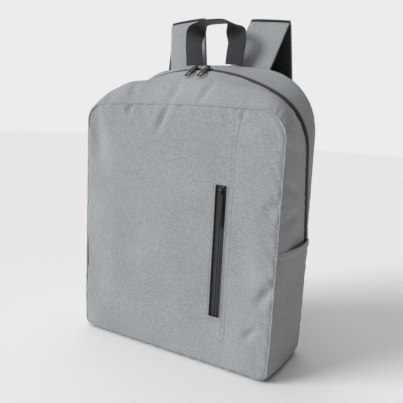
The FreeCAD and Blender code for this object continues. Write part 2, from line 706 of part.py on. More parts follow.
def zip_place(turn, radius):
    """The placement on the main zip at an angle from its top, at that radius of the crown."""
    lean = SIZES["zip_lean"]
    tilt = Rotation(Vector(1, 0, 0), lean)
    rotation = tilt.multiply(Rotation(Vector(0, 1, 0), turn))
    centre = Vector(0, SIZES["zip_cross"], 0) + tilt.multVec(
        Vector(0, 0, SIZES["zip_top"] - SIZES["zip_crown"]))
    return Placement(centre + rotation.multVec(Vector(0, 0, radius)), rotation)


def make_sliders():
    # the lower plates hang deep enough to clear the rear chain as the front swings open
    inner = -dim("tape_sink") - dim("tape_thick") - dim("coil_thick") - dim("plate_below")
    outer = dim("plate_above")
    bar_z = outer + dim("slider_plate") + dim("eye_radius") + dim("eye_gap")
    for name in ("left", "right"):
        turn = SIZES[f"{name}_slider_turn"]
        part = slider(f"main_slider_{name}", "x", (inner, outer, bar_z))
        part.Placement = zip_place(turn, SIZES["zip_crown"])
        pull = puller(f"main_puller_{name}", dim("main_pull_long"), dim("main_pull_wide"), True)
        hinge = zip_place(turn, SIZES["zip_crown"] + bar_z.value)
        droop = Rotation(Vector(1, 0, 0), SIZES["main_pull_droop"])
        pull.Placement = Placement(hinge.Base, hinge.Rotation.multiply(droop))

    outer = dim("layer_gap")
    inner = -dim("tape_thick") - dim("coil_thick") - dim("front_plate_below")
    bar_z = outer + dim("slider_plate") + dim("eye_radius") + dim("eye_gap")
    tape_face = SIZES["front_y"] + SIZES["gap"]
    top = SIZES["fz_high"] - SIZES["slider_long"] / 2 - SIZES["stop_gap"]
    face_front = Rotation(Vector(0, 0, -1), Vector(-1, 0, 0), Vector(0, -1, 0), "ZXY")
    part = slider("pocket_slider", "y", (inner, outer, bar_z))
    part.Placement = Placement(Vector(SIZES["fz_x"], tape_face, top), face_front)
    pull = puller("pocket_puller", dim("front_pull_long"), dim("front_pull_wide"), False)
    hang = Rotation(Vector(1, 0, 0), 90)
    pull.Placement = Placement(Vector(SIZES["fz_x"], tape_face - bar_z.value, top), hang)


# ------------------------------------------------------------------ grab handle
def make_handle():
    body = new_body("grab_handle")
    outer, inner = dim("grab_outer"), dim("grab_inner")
    low, high, chamfer = dim("grab_low"), dim("grab_high"), dim("grab_chamfer")
    band = dim("grab_thick")
    place = Slice(dim("grab_y"))
    sketch = place.sketch(body, "grab_loop", -band / 2)
    shoulder = chamfer * dim("grab_shoulder")
    add_outline(sketch, [
        (-outer, low), (-inner, low), (-inner, high - chamfer), (-inner + shoulder, high - band),
        (inner - shoulder, high - band), (inner, high - chamfer), (inner, low), (outer, low),
        (outer, high - chamfer), (outer - chamfer, high), (chamfer - outer, high),
        (-outer, high - chamfer)])
    pad(body, "grab_loop_pad", sketch, band)
    top = place.sketch(body, "grab_top", -dim("grab_wide") / 2)
    add_outline(top, rectangle(chamfer - outer, outer - chamfer, high - band, high))
    pad(body, "grab_top_pad", top, dim("grab_wide"))


# ------------------------------------------------------------------ shoulder straps and webbing
def lean_pad(body, name, sketch, run):
    """A pad of a level sketch along run, whose last part is its rise."""
    slab = pad(body, name, sketch, run[2])
    slab.UseCustomVector = True
    slab.AlongSketchNormal = True
    slab.Direction = Vector(*[size.value for size in run])
    for axis, size in zip("xyz", run):
        slab.setExpression(f"Direction.{axis}", size.formula)


def slanted_slab(body, name, corner, top_corner, deep):
    """A slab as wide as the strap, from a level rectangle to the same rectangle higher up.

    corner and top_corner are the rectangle's inner front corner at the bottom and at the top.
    """
    side, inner, front, low = corner
    top_inner, top_front, high = top_corner
    far = inner + dim("strap_wide")
    edges = (inner, far) if side > 0 else (-far, -inner)
    sketch = new_sketch(body, f"{name}_foot", "XY_Plane", (ZERO, ZERO, low))
    add_outline(sketch, rectangle(edges[0], edges[1], front, front + deep))
    lean_pad(body, name, sketch, ((top_inner - inner) * side, top_front - front, high - low))


def make_strap(side, name):
    cover, padding, mesh = dim("cover"), dim("padding"), dim("mesh")
    deep = cover + padding + mesh
    inner, low = dim("strap_inner"), dim("strap_low")
    crest_inner = inner + dim("crest_out")
    crest_z, crest_y = dim("crest_z"), dim("crest_y")
    end_inner, end_y, end_z = inner + dim("strap_end_out"), dim("strap_end_y"), dim("strap_end_z")
    layers = {
        "cover": ((ZERO, cover), (mesh + padding, cover)),
        "foam": ((cover, padding), (mesh, padding)),
        "mesh": ((cover + padding, mesh), (ZERO, mesh)),
    }
    for layer, ((rise_in, rise_thick), (fall_in, fall_thick)) in layers.items():
        label = f"strap_{layer}_{name}"
        # the cover and the mesh run over the crest, and the foam is two separate lengths
        split = layer == "foam"
        body = plain_body(f"{label}_rise_body") if split else new_body(label)
        fall_body = plain_body(f"{label}_fall_body") if split else body
        slanted_slab(body, f"{label}_rise",
                     (side, inner, dim("strap_base_y") + rise_in, low),
                     (crest_inner, crest_y + rise_in, crest_z), rise_thick)
        slanted_slab(fall_body, f"{label}_fall",
                     (side, end_inner, end_y + fall_in, end_z),
                     (crest_inner, crest_y + deep + fall_in, crest_z), fall_thick)
        if split:
            fused(label, [body, fall_body])
        if layer == "cover":
            cap = new_sketch(body, f"{label}_cap_plan", "XY_Plane", (ZERO, ZERO, crest_z))
            edges = sorted((crest_inner * side, (crest_inner + dim("strap_wide")) * side),
                           key=lambda size: size.value)
            add_outline(cap, rectangle(edges[0], edges[1], crest_y, crest_y + deep * 2))
            pad(body, f"{label}_cap", cap, cover)


def make_webbing(side, name):
    """The ladder lock on its sewn loop, the free tail, the lower strap and its corner tab."""
    lock_x, lock_y, lock_z = dim("lock_x") * side, dim("lock_y"), dim("lock_z")
    half, web, web_half = dim("lock_half"), dim("webbing"), dim("webbing_half")
    bar, slot, slot_half = dim("lock_bar"), dim("lock_slot"), dim("lock_slot_half")

    loop = new_body(f"strap_loop_{name}")
    radius = dim("loop_radius")
    outside = radius + web
    top = dim("strap_end_z") - dim("layer_gap")
    profile = new_sketch(loop, f"strap_loop_{name}_side", "YZ_Plane", (ZERO, ZERO, lock_x - web_half))
    turn = lock_z - dim("loop_turn")
    round_out, round_in = outside * dim("loop_bow"), radius * dim("loop_bow")
    add_outline(profile, [
        (lock_y - outside, top), (lock_y - outside, turn, round_out), (lock_y + outside, turn),
        (lock_y + outside, top), (lock_y + radius, top), (lock_y + radius, turn, -round_in),
        (lock_y - radius, turn), (lock_y - radius, top)])
    pad(loop, f"strap_loop_{name}_pad", profile, web_half * 2)

    lock = new_body(f"ladder_lock_{name}")
    place = Slice(lock_y)
    outline = place.sketch(lock, f"ladder_lock_{name}_outline", -bar / 2)
    lock_top = lock_z + bar / 2
    add_outline(outline, rectangle(lock_x - half, lock_x + half, dim("lock_low"), lock_top))
    pad(lock, f"ladder_lock_{name}_pad", outline, bar)
    for index in (0, 1):
        high = lock_top - bar - (bar + slot) * index
        window = place.sketch(lock, f"ladder_lock_{name}_slot_{index}", -bar / 2)
        add_outline(window, rectangle(lock_x - slot_half, lock_x + slot_half, high - slot, high))
        cut(lock, f"ladder_lock_{name}_cut_{index}", window, bar + dim("cut_over"), along_normal=True)

    tail = new_body(f"webbing_tail_{name}")
    plan = new_sketch(tail, f"webbing_tail_{name}_plan", "XY_Plane", (ZERO, ZERO, dim("tail_low")))
    near = lock_y + bar / 2 - web
    add_outline(plan, rectangle(lock_x - web_half, lock_x + web_half, near, near + web))
    pad(tail, f"webbing_tail_{name}_pad", plan, dim("lock_low") - dim("layer_gap") - dim("tail_low"))

    # the lower strap leaves its tab, clears the edge of the back pad and climbs to the lock
    lower = new_body(f"strap_webbing_{name}")
    route = [(dim("web_low_x") * side, dim("web_low_y"), dim("web_low_z")),
             (dim("web_low_x") * side, dim("web_turn_y"), dim("web_turn_z")),
             (dim("web_top_x") * side, dim("web_top_y"), dim("web_top_z"))]
    for index, (start, end) in enumerate(zip(route, route[1:])):
        label = f"strap_webbing_{name}_{index}"
        plan = new_sketch(lower, f"{label}_plan", "XY_Plane", (ZERO, ZERO, start[2]))
        add_outline(plan, rectangle(start[0] - web_half, start[0] + web_half, start[1], start[1] + web))
        lean_pad(lower, label, plan, [b - a for a, b in zip(start, end)])

    tab = new_body(f"lower_tab_{name}")
    behind = -dim("cloth") - dim("layer_gap") - dim("tab_thick")
    outline = BACK.sketch(tab, f"lower_tab_{name}_outline", behind)
    out, near_x = dim("tab_out") * side, dim("tab_in") * side
    low, high = dim("tab_low"), dim("tab_high")
    corners = [(out, low), (out, high), (near_x, high - dim("tab_drop")), (near_x, high - dim("tab_tip"))]
    add_outline(outline, corners if side > 0 else corners[::-1])
    pad(tab, f"lower_tab_{name}_pad", outline, dim("tab_thick"))


make_bottom_panel()
for side, name in ((-1, "left"), (1, "right")):
    make_side(side, name)
make_arches()
make_zip_ends()
make_front()
make_back()
make_sliders()
make_handle()
for side, name in ((-1, "left"), (1, "right")):
    make_strap(side, name)
    make_webbing(side, name)

# ------------------------------------------------------------------ checks and export
doc.recompute()
for item in doc.Objects:
    if {"Invalid", "Error"} & set(item.State):
        raise ValueError(f"{item.Label} failed: {item.State}")
for node in NODES:
    shape = node.Shape
    if shape.isNull() or not shape.isValid() or not shape.Solids:
        raise ValueError(f"{node.Label} has no valid solid")
    shape.exportStep(f"parts/{node.Label}.step")
    box = shape.BoundBox
    print(f"{node.Label:24s} {len(shape.Solids)} solid  {shape.Volume / 1000:8.2f} cm3  "
          f"x {box.XMin:7.1f} {box.XMax:7.1f}  y {box.YMin:7.1f} {box.YMax:7.1f}  "
          f"z {box.ZMin:7.1f} {box.ZMax:7.1f}")
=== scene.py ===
import json
from math import atan2, copysign, cos, degrees, exp, hypot, pi, radians, sin, sqrt, tan

import bmesh
import bpy
from mathutils import Matrix, Vector


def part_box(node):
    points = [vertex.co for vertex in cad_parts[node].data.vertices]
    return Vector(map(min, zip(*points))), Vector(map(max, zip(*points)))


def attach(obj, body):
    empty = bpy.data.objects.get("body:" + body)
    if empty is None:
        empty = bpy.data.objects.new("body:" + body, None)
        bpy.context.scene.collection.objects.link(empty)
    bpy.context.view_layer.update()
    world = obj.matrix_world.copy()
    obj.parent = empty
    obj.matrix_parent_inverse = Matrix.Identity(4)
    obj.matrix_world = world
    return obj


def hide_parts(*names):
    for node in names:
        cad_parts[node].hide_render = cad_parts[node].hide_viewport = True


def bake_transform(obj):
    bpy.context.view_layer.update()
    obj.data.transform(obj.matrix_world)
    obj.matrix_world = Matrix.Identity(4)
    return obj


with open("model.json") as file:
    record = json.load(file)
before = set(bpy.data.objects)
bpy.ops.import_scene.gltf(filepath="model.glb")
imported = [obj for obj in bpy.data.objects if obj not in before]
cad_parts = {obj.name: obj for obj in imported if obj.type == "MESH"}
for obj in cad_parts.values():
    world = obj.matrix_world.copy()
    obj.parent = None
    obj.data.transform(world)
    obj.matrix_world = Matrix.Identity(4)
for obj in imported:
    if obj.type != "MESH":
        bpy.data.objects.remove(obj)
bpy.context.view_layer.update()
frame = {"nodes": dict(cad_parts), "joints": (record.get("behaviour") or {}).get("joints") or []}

# Zip-round laptop daypack. Metres. +X is right of someone facing the front, the front faces -Y.
# Every panel is built on the same arched outlines as the frame, then bulged, creased and sewn.

MM = 0.001
UP = Vector((0, 0, 1))
RIGHT = Vector((1, 0, 0))
FORWARD = Vector((0, -1, 0))
INSIDE = Vector((0, 0, 0.2))  # a point well within the bag
BACK_LEAN = 2.0  # degrees from upright
BACK_SLOPE = tan(radians(BACK_LEAN))
joints = {joint["name"]: joint for joint in frame["joints"]}
SIDES = (("left", -1), ("right", 1))


# ------------------------------------------------------------------ materials
class Nodes:
    """A material's node tree, with short calls for the nodes that the finishes share."""

    def __init__(self, name, roughness, **constants):
        self.material = bpy.data.materials.new(name)
        self.material.use_nodes = True
        self.tree = self.material.node_tree
        self.shader = self.tree.nodes["Principled BSDF"]
        self.shader.inputs["Roughness"].default_value = roughness
        for socket, value in constants.items():
            self.shader.inputs[socket.replace("_", " ")].default_value = value
        self.coords = self.tree.nodes.new("ShaderNodeTexCoord")

    def link(self, output, target):
        self.tree.links.new(output, target)

    def node(self, kind, **constants):
        node = self.tree.nodes.new("ShaderNode" + kind)
        for socket, value in constants.items():
            node.inputs[socket.replace("_", " ")].default_value = value
        return node

    def stretched(self, scale, space="Object"):
        mapping = self.node("Mapping", Scale=scale)
        self.link(self.coords.outputs[space], mapping.inputs["Vector"])
        return mapping.outputs["Vector"]

    def noise(self, scale, detail=2.0):
        node = self.node("TexNoise", Scale=1.0, Detail=detail)
        self.link(self.stretched(scale), node.inputs["Vector"])
        return node.outputs["Fac"]

    def ribs(self, pitch, axis):
        """Even ridges one pitch apart along an axis."""
        node = self.node("TexWave", Scale=1.0)
        node.bands_direction = axis
        # a wave texture repeats every 2 pi / 20 units of its coordinate
        scale = pi / 10 / pitch
        self.link(self.stretched((scale,) * 3, "UV"), node.inputs["Vector"])
        return node.outputs["Fac"]

    def maths(self, operation, first, second):
        node = self.node("Math")
        node.operation = operation
        for socket, value in zip(node.inputs, (first, second)):
            if isinstance(value, (int, float)):
                socket.default_value = value
            else:
                self.link(value, socket)
        return node.outputs["Value"]

    def mix(self, first, share, second):
        """A share of the first value with the rest made up of the second."""
        return self.maths("ADD", self.maths("MULTIPLY", first, share),
                          self.maths("MULTIPLY", second, 1 - share))

    def ramp(self, value, stops):
        node = self.node("ValToRGB")
        ramp = node.color_ramp
        while len(ramp.elements) < len(stops):
            ramp.elements.new(0.5)
        for element, (place, colour) in zip(ramp.elements, stops):
            element.position = place
            element.color = (*colour, 1.0)
        self.link(value, node.inputs["Fac"])
        return node.outputs["Color"]

    def bump(self, height, strength, distance):
        node = self.node("Bump", Strength=strength, Distance=distance)
        self.link(height, node.inputs["Height"])
        self.link(node.outputs["Normal"], self.shader.inputs["Normal"])

    def colour(self, output):
        self.link(output, self.shader.inputs["Base Color"])

    def vary_roughness(self, low, high, scale):
        node = self.node("MapRange", To_Min=low, To_Max=high)
        self.link(self.noise((scale,) * 3), node.inputs["Value"])
        self.link(node.outputs["Result"], self.shader.inputs["Roughness"])


def shade(colour, factor):
    return tuple(min(1.0, channel * factor) for channel in colour)


def two_tone_cloth(name, colour, contrast=0.20):
    """Plain-woven polyester of light and dark yarns, with slubs along both directions."""
    n = Nodes(name, 0.88, Sheen_Weight=0.12, Specular_IOR_Level=0.25)
    upright = n.noise((1500, 1500, 300), 3.0)
    level = n.noise((340, 340, 1500), 3.0)
    clouds = n.noise((14, 14, 14))
    mixed = n.mix(n.mix(upright, 0.5, level), 0.86, clouds)
    n.colour(n.ramp(mixed, [(0.41, shade(colour, 1 - contrast)), (0.50, colour),
                            (0.59, shade(colour, 1 + contrast))]))
    n.bump(n.maths("ADD", upright, level), 0.30, 0.0004)
    n.vary_roughness(0.82, 0.94, 60)
    return n.material


def dark_cloth(name, colour):
    n = Nodes(name, 0.85, Sheen_Weight=0.1, Specular_IOR_Level=0.3)
    threads = n.maths("ADD", n.noise((1800, 1800, 500)), n.noise((500, 500, 1800)))
    half = n.maths("MULTIPLY", threads, 0.5)
    n.colour(n.ramp(half, [(0.35, shade(colour, 0.6)), (0.65, shade(colour, 1.5))]))
    n.bump(threads, 0.3, 0.0003)
    n.vary_roughness(0.76, 0.92, 80)
    return n.material


def ribbed_webbing(name, colour, pitch=1.1 * MM):
    """Webbing with ridges across it and a faint run of yarns along it, with a painted highlight on each
    ridge and painted shade in the grooves.
    """
    n = Nodes(name, 0.72, Sheen_Weight=0.15, Specular_IOR_Level=0.35)
    across = n.ribs(pitch, "Y")
    along = n.ribs(pitch * 1.6, "X")
    woven = n.mix(across, 0.65, along)
    # painted light and shade: the colour follows the ridges' relief, lighter on top and darker in the
    # grooves, mixed with a random mottle
    painted_ridge_shade_and_mottle = n.mix(woven, 0.6, n.noise((420, 420, 420)))
    n.colour(n.ramp(painted_ridge_shade_and_mottle, [(0.2, shade(colour, 0.6)), (0.8, shade(colour, 1.45))]))
    n.bump(woven, 0.5, 0.0004)
    return n.material


def spacer_mesh(name, colour, cell=3.2 * MM):
    """Knitted air mesh: a net of soft ribs around holes, with painted shade in the holes and a painted
    highlight on the ribs.
    """
    n = Nodes(name, 0.9, Sheen_Weight=0.2, Specular_IOR_Level=0.2)
    cells = n.node("TexVoronoi", Scale=1.0)
    cells.feature = "DISTANCE_TO_EDGE"
    n.link(n.stretched((1 / cell,) * 3), cells.inputs["Vector"])
    edge = cells.outputs["Distance"]
    # painted light and shade: bright on the raised ribs, dark in the sunken holes
    n.colour(n.ramp(edge, [(0.05, shade(colour, 1.7)), (0.32, shade(colour, 0.35))]))
    n.bump(n.maths("SUBTRACT", 1.0, edge), 0.8, 0.0012)
    return n.material


def zip_finish(name, colour, pitch, axis, roughness):
    n = Nodes(name, roughness, Specular_IOR_Level=0.45)
    teeth = n.ribs(pitch, axis)
    fuzz = n.noise((700, 700, 700))
    # painted light and shade: the colour follows the teeth's relief, lighter on each tooth and darker
    # between teeth, mixed with a random mottle
    painted_ridge_shade_and_mottle = n.mix(teeth, 0.6, fuzz)
    n.colour(n.ramp(painted_ridge_shade_and_mottle, [(0.2, shade(colour, 0.6)), (0.8, shade(colour, 1.5))]))
    n.bump(teeth, 0.5, 0.0003)
    return n.material


def moulded(name, colour, low, high, coat):
    """Cast metal or moulded plastic: fine grain, and roughness that varies with handling."""
    n = Nodes(name, low, Coat_Weight=coat, Coat_Roughness=0.2)
    patches = n.noise((160, 160, 160), 3.0)
    n.colour(n.ramp(patches, [(0.35, shade(colour, 0.75)), (0.7, shade(colour, 1.35))]))
    n.bump(n.noise((2600, 2600, 2600)), 0.12, 0.0001)
    n.vary_roughness(low, high, 220)
    return n.material


grey = two_tone_cloth("grey_cloth", (0.335, 0.352, 0.362))
lining = dark_cloth("lining_cloth", (0.045, 0.047, 0.052))
tape = zip_finish("zip_tape", (0.028, 0.031, 0.036), 1.6 * MM, "X", 0.7)
coil = zip_finish("zip_coil", (0.030, 0.033, 0.038), 1.5 * MM, "Y", 0.45)
binding = ribbed_webbing("binding_tape", (0.02, 0.021, 0.024), 0.8 * MM)
webbing = ribbed_webbing("black_webbing", (0.027, 0.030, 0.035))
air_mesh = spacer_mesh("air_mesh", (0.020, 0.022, 0.026))
black_metal = moulded("black_metal", (0.009, 0.0095, 0.011), 0.30, 0.44, 0.15)
black_plastic = moulded("black_plastic", (0.020, 0.021, 0.024), 0.42, 0.58, 0.0)
thread = dark_cloth("pale_thread", (0.55, 0.57, 0.58))


# ------------------------------------------------------------------ mesh helpers
def new_piece(name, mesh, material):
    piece = bpy.data.objects.new(name, mesh)
    show(piece)
    mesh.materials.append(material)
    for polygon in mesh.polygons:
        polygon.use_smooth = True
    return piece


def show(piece):
    bpy.context.scene.collection.objects.link(piece)


def settle(piece, body, *nodes):
    """The piece moves with one body, and takes the place of any nodes named."""
    if nodes:
        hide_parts(*nodes)
    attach(piece, body)


def grid_mesh(name, rows, closed=False):
    """A quad mesh through rows of points. Its UVs are metres along the rows and up the columns."""
    mesh = bpy.data.meshes.new(name)
    count = len(rows[0])
    points = [tuple(point) for row in rows for point in row]
    width = count if closed else count - 1
    faces = [(r * count + c, r * count + (c + 1) % count,
              (r + 1) * count + (c + 1) % count, (r + 1) * count + c)
             for r in range(len(rows) - 1) for c in range(width)]
    mesh.from_pydata(points, [], faces)
    along = [0.0]
    for c in range(count):
        along.append(along[-1] + (Vector(rows[0][(c + 1) % count]) - Vector(rows[0][c])).length)
    up = [0.0]
    for r in range(len(rows) - 1):
        up.append(up[-1] + (Vector(rows[r + 1][0]) - Vector(rows[r][0])).length)
    layer = mesh.uv_layers.new(name="UVMap")
    index = 0
    for r in range(len(rows) - 1):
        for c in range(width):
            for du, dv in ((0, 0), (1, 0), (1, 1), (0, 1)):
                layer.data[index].uv = (along[c + du], up[r + dv])
                index += 1
    mesh.update()
    return mesh


def surface(rows, columns, place):
    """Rows of points from place(up, along), both running from 0 to 1."""
    return [[place(r / rows, c / columns) for c in range(columns + 1)] for r in range(rows + 1)]


def thicken(piece, thickness, offset=-1.0):
    """Gives cloth its thickness, on the side away from the outward normals."""
    solid = piece.modifiers.new("Thickness", "SOLIDIFY")
    solid.thickness = thickness
    solid.offset = offset
    return piece


def laid_flat(rows):
    """A sheet's size with its swells and folds laid out: along the middle row, up the middle column."""
    row = rows[len(rows) // 2]
    column = [line[len(line) // 2] for line in rows]
    return tuple(sum((b - a).length for a, b in zip(line, line[1:])) for line in (row, column))


def strip_area(rows):
    """The area that a strip is cut to: its cells between the two seams, before any swell."""
    total = 0.0
    for near, far in zip(rows, rows[1:]):
        for a, b, c, d in zip(near, near[1:], far, far[1:]):
            total += ((b - a).cross(c - a).length + (b - d).cross(c - d).length) / 2
    return total


def face_away_from(mesh, centre):
    """Turns an open panel's faces so that they look away from a point inside the bag."""
    vote = sum(((p.center - centre).normalized().dot(p.normal)) * p.area for p in mesh.polygons)
    if vote < 0:
        mesh.flip_normals()


def panel(name, rows, material, thickness):
    mesh = grid_mesh(name, rows)
    face_away_from(mesh, INSIDE)
    return thicken(new_piece(name, mesh, material), thickness)


def close_rings(mesh, count, last=True, outwards=True):
    """Caps the first ring of count points, and the last, and turns the faces outwards."""
    bm = bmesh.new()
    bm.from_mesh(mesh)
    bm.verts.ensure_lookup_table()
    for start in (0, len(bm.verts) - count)[:2 if last else 1]:
        bm.faces.new([bm.verts[start + i] for i in range(count)])
    if outwards:
        bmesh.ops.recalc_face_normals(bm, faces=bm.faces)
    bm.to_mesh(mesh)
    bm.free()


def swept(name, centres, sides, profile, material):
    """A closed bar: a profile of (across, out) points carried along a line of centres.

    sides holds (across vector, out vector) for each centre.
    """
    rows = []
    for centre, (across, out), loop in zip(centres, sides, profile):
        rows.append([centre + across * a + out * b for a, b in loop])
    mesh = grid_mesh(name, rows, closed=True)
    close_rings(mesh, len(rows[0]))
    return new_piece(name, mesh, material)


def band_loop(width, thickness, steps=10):
    """A flat band's section with round edges."""
    half, radius = width / 2 - thickness / 2, thickness / 2
    loop = []
    for step in range(steps + 1):
        angle = -pi / 2 + pi * step / steps
        loop.append((half + radius * cos(angle), radius * sin(angle)))
    for step in range(steps + 1):
        angle = pi / 2 + pi * step / steps
        loop.append((-half + radius * cos(angle), radius * sin(angle)))
    return loop


def pillow_loop(width, thickness, steps=28, power=0.32):
    """A padded section: full in the middle, with thin sewn edges."""
    loop = []
    for step in range(steps * 2):
        angle = pi * step / steps
        across = cos(angle)
        rise = copysign(abs(sin(angle)) ** (power * 2), sin(angle))
        loop.append((across * width / 2, rise * thickness / 2))
    return loop


def smooth_line(points, count):
    """count points along a Catmull-Rom line through the given ones."""
    line = []
    last = len(points) - 1
    for step in range(count):
        place = step / (count - 1) * last
        index = min(int(place), last - 1)
        f = place - index
        a = points[max(index - 1, 0)]
        b, c = points[index], points[index + 1]
        d = points[min(index + 2, last)]
        line.append(0.5 * ((2 * b) + (c - a) * f + (2 * a - 5 * b + 4 * c - d) * f ** 2
                           + (3 * b - a - 3 * c + d) * f ** 3))
    return line


def tangents(line):
    last = len(line) - 1
    return [(line[min(i + 1, last)] - line[max(i - 1, 0)]).normalized() for i in range(last + 1)]


def ribbon(name, line, across_of, width, thickness, material):
    """A band along a line. across_of(share) gives the direction of its width."""
    sides = []
    for index, ahead in enumerate(tangents(line)):
        across = across_of(index / (len(line) - 1))
        across = (across - ahead * across.dot(ahead)).normalized()
        sides.append((across, ahead.cross(across)))
    loop = band_loop(width, thickness)
    return swept(name, line, sides, [loop] * len(line), material)


def rounded(width, height, radius, centre=(0.0, 0.0), steps=6):
    """A rounded rectangle's outline."""
    loop = []
    for quarter, (sx, sy) in enumerate(((1, 1), (-1, 1), (-1, -1), (1, -1))):
        for step in range(steps + 1):
            angle = pi / 2 * (quarter + step / steps)
            loop.append((centre[0] + sx * (width / 2 - radius) + radius * cos(angle),
                         centre[1] + sy * (height / 2 - radius) + radius * sin(angle)))
    return loop


def plate_mesh(loops, thickness, bevel):
    """A flat plate with bevelled edges. The first outline is its edge, the others are holes."""
    curve = bpy.data.curves.new("plate", "CURVE")
    curve.dimensions = "2D"
    curve.fill_mode = "BOTH"
    curve.extrude = thickness / 2 - bevel
    curve.bevel_depth = bevel
    curve.bevel_resolution = 2
    curve.offset = -bevel
    for loop in loops:
        spline = curve.splines.new("POLY")
        spline.points.add(len(loop) - 1)
        for point, (x, y) in zip(spline.points, loop):
            point.co = (x, y, 0, 1)
        spline.use_cyclic_u = True
    holder = bpy.data.objects.new("plate", curve)
    show(holder)
    bpy.context.view_layer.update()
    graph = bpy.context.evaluated_depsgraph_get()
    mesh = bpy.data.meshes.new_from_object(holder.evaluated_get(graph))
    bpy.data.objects.remove(holder)
    bpy.data.curves.remove(curve)
    bm = bmesh.new()
    bm.from_mesh(mesh)
    bmesh.ops.remove_doubles(bm, verts=bm.verts, dist=1e-6)
    bmesh.ops.recalc_face_normals(bm, faces=bm.faces)
    bm.to_mesh(mesh)
    bm.free()
    mesh.materials.clear()
    return mesh


def joined(name, parts, material):
    """One piece from several (mesh, matrix) parts."""
    bm = bmesh.new()
    for mesh, matrix in parts:
        mesh.transform(matrix)
        bm.from_mesh(mesh)
    mesh = bpy.data.meshes.new(name)
    bm.to_mesh(mesh)
    bm.free()
    piece = new_piece(name, mesh, material)
    for polygon in mesh.polygons:
        polygon.use_smooth = False
    return piece


def tube_mesh(line, radius, steps=10):
    rows = []
    for centre, ahead in zip(line, tangents(line)):
        hint = UP if abs(ahead.z) < 0.9 else RIGHT
        across = ahead.cross(hint).normalized()
        out = across.cross(ahead)
        rows.append([centre + (across * cos(2 * pi * s / steps)
                               + out * sin(2 * pi * s / steps)) * radius
                     for s in range(steps)])
    return grid_mesh("tube", rows, closed=True)


def basis(origin, along, across, out):
    matrix = Matrix((along, across, out)).transposed().to_4x4()
    matrix.translation = origin
    return matrix


# ------------------------------------------------------------------ the arched outlines
class Arch:
    """Upright sides, round shoulders and a shallow crown, in a plane that may lean forward."""

    def __init__(self, half, top, corner, crown, cross, lean=0.0, left_corner=None):
        self.left = Arch(half, top, left_corner, crown, cross, lean) if left_corner else self
        self.half, self.top, self.corner, self.crown = half, top, corner, crown
        self.cross, self.lean = cross, radians(lean)
        self.crown_z = top - crown
        self.centre_x = half - corner
        self.centre_z = self.crown_z + sqrt((crown - corner) ** 2 - self.centre_x ** 2)
        self.meet = atan2(self.centre_z - self.crown_z, self.centre_x)

    def local(self, share, low):
        """(across, height) and the outward normal, for a share from 0 at +X to 1 at -X."""
        shares = (0.27, 0.13, 0.20)
        mirrored = share > 0.5
        if mirrored and self.left is not self:
            return self.left.local(share, low)
        s = 1 - share if mirrored else share
        if s <= shares[0]:
            f = s / shares[0]
            x, h, angle = self.half, low + (self.centre_z - low) * f, 0.0
        elif s <= shares[0] + shares[1]:
            angle = self.meet * (s - shares[0]) / shares[1]
            x = self.centre_x + self.corner * cos(angle)
            h = self.centre_z + self.corner * sin(angle)
        else:
            rest = (s - shares[0] - shares[1]) / (0.5 - shares[0] - shares[1])
            angle = self.meet + (pi / 2 - self.meet) * rest
            x = self.crown * cos(angle)
            h = self.crown_z + self.crown * sin(angle)
        flip = -1 if mirrored else 1
        return x * flip, h, Vector((cos(angle) * flip, 0, sin(angle)))

    def height(self, x):
        """The height of the outline over a place across an upright arch."""
        side = self.left if x < 0 else self
        corner_x = abs(x) - side.centre_x
        if corner_x > 0:
            return side.centre_z + sqrt(max(side.corner ** 2 - corner_x ** 2, 0.0))
        return side.crown_z + sqrt(side.crown ** 2 - x ** 2)

    def area(self, low, slices=600):
        """The flat area between a level line and the outline."""
        wide = self.half * 2 / slices
        return sum(self.height(wide * (s + 0.5) - self.half) - low for s in range(slices)) * wide

    def point(self, share, low, ahead=0.0):
        """The point in the bag's frame. low is the floor height at which the sides end."""
        sine, cosine = sin(self.lean), cos(self.lean)
        start = (low + ahead * sine) / cosine
        x, h, normal = self.local(share, start)
        y = self.cross - ahead * cosine - h * sine
        z = h * cosine - ahead * sine
        return Vector((x, y, z)), normal


panel_low, panel_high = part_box("front_panel")
back_low, back_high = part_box("back_panel")
base_low, base_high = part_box("bottom_panel")
FRONT = Arch(panel_high.x, panel_high.z, 0.036, 2.5, panel_high.y, left_corner=0.024)
BROW = Arch(0.154, 0.370, 0.058, 0.520, -0.032, left_corner=0.050)
ZIP = Arch(0.1545, 0.3955, 0.080, 0.235, 0.075, 11.5)
BACK = Arch(back_high.x, 0.399, 0.084, 0.520, 0.056, BACK_LEAN)
ZIP_REACH = 5.6 * MM
ARCH_LOW = 0.160
CLOTH = 1.6 * MM


def bends_with_flap(piece, *nodes):
    if nodes:
        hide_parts(*nodes)
    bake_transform(piece)


def arch_rows(stations, low, shares, steps):
    """Rows of (point, normal) drawn smoothly through stations of (arch, ahead)."""
    rows = [[] for row in range(steps + 1)]
    for share in shares:
        points, normals = [], []
        for arch, ahead in stations:
            point, normal = arch.point(share, low, ahead)
            points.append(point)
            normals.append(normal)
        for row, point in enumerate(smooth_line(points, steps + 1)):
            place = row / steps * (len(stations) - 1)
            normal = normals[min(int(place), len(stations) - 2)]
            rows[row].append((point, normal))
    return rows


def shares(count):
    return [index / (count - 1) for index in range(count)]


# ------------------------------------------------------------------ creases
class Crease:
    """A soft fold between two points, deepest midway. Its depth is in millimetres."""

    def __init__(self, start, end, width, depth):
        self.start, self.end = Vector(start), Vector(end)
        self.run = self.end - self.start
        self.width, self.depth = width, depth * MM

    def at(self, point):
        share = (point - self.start).dot(self.run) / self.run.length_squared
        share = max(0.0, min(1.0, share))
        away = (point - (self.start + self.run * share)).length
        fade = sin(pi * (0.20 + 0.75 * share))
        valley = exp(-(away / self.width) ** 2)
        # the cloth stands up a little beside each fold
        shoulder = exp(-((away - self.width * 1.9) / self.width) ** 2)
        return self.depth * fade * (0.35 * shoulder - 1.25 * valley)


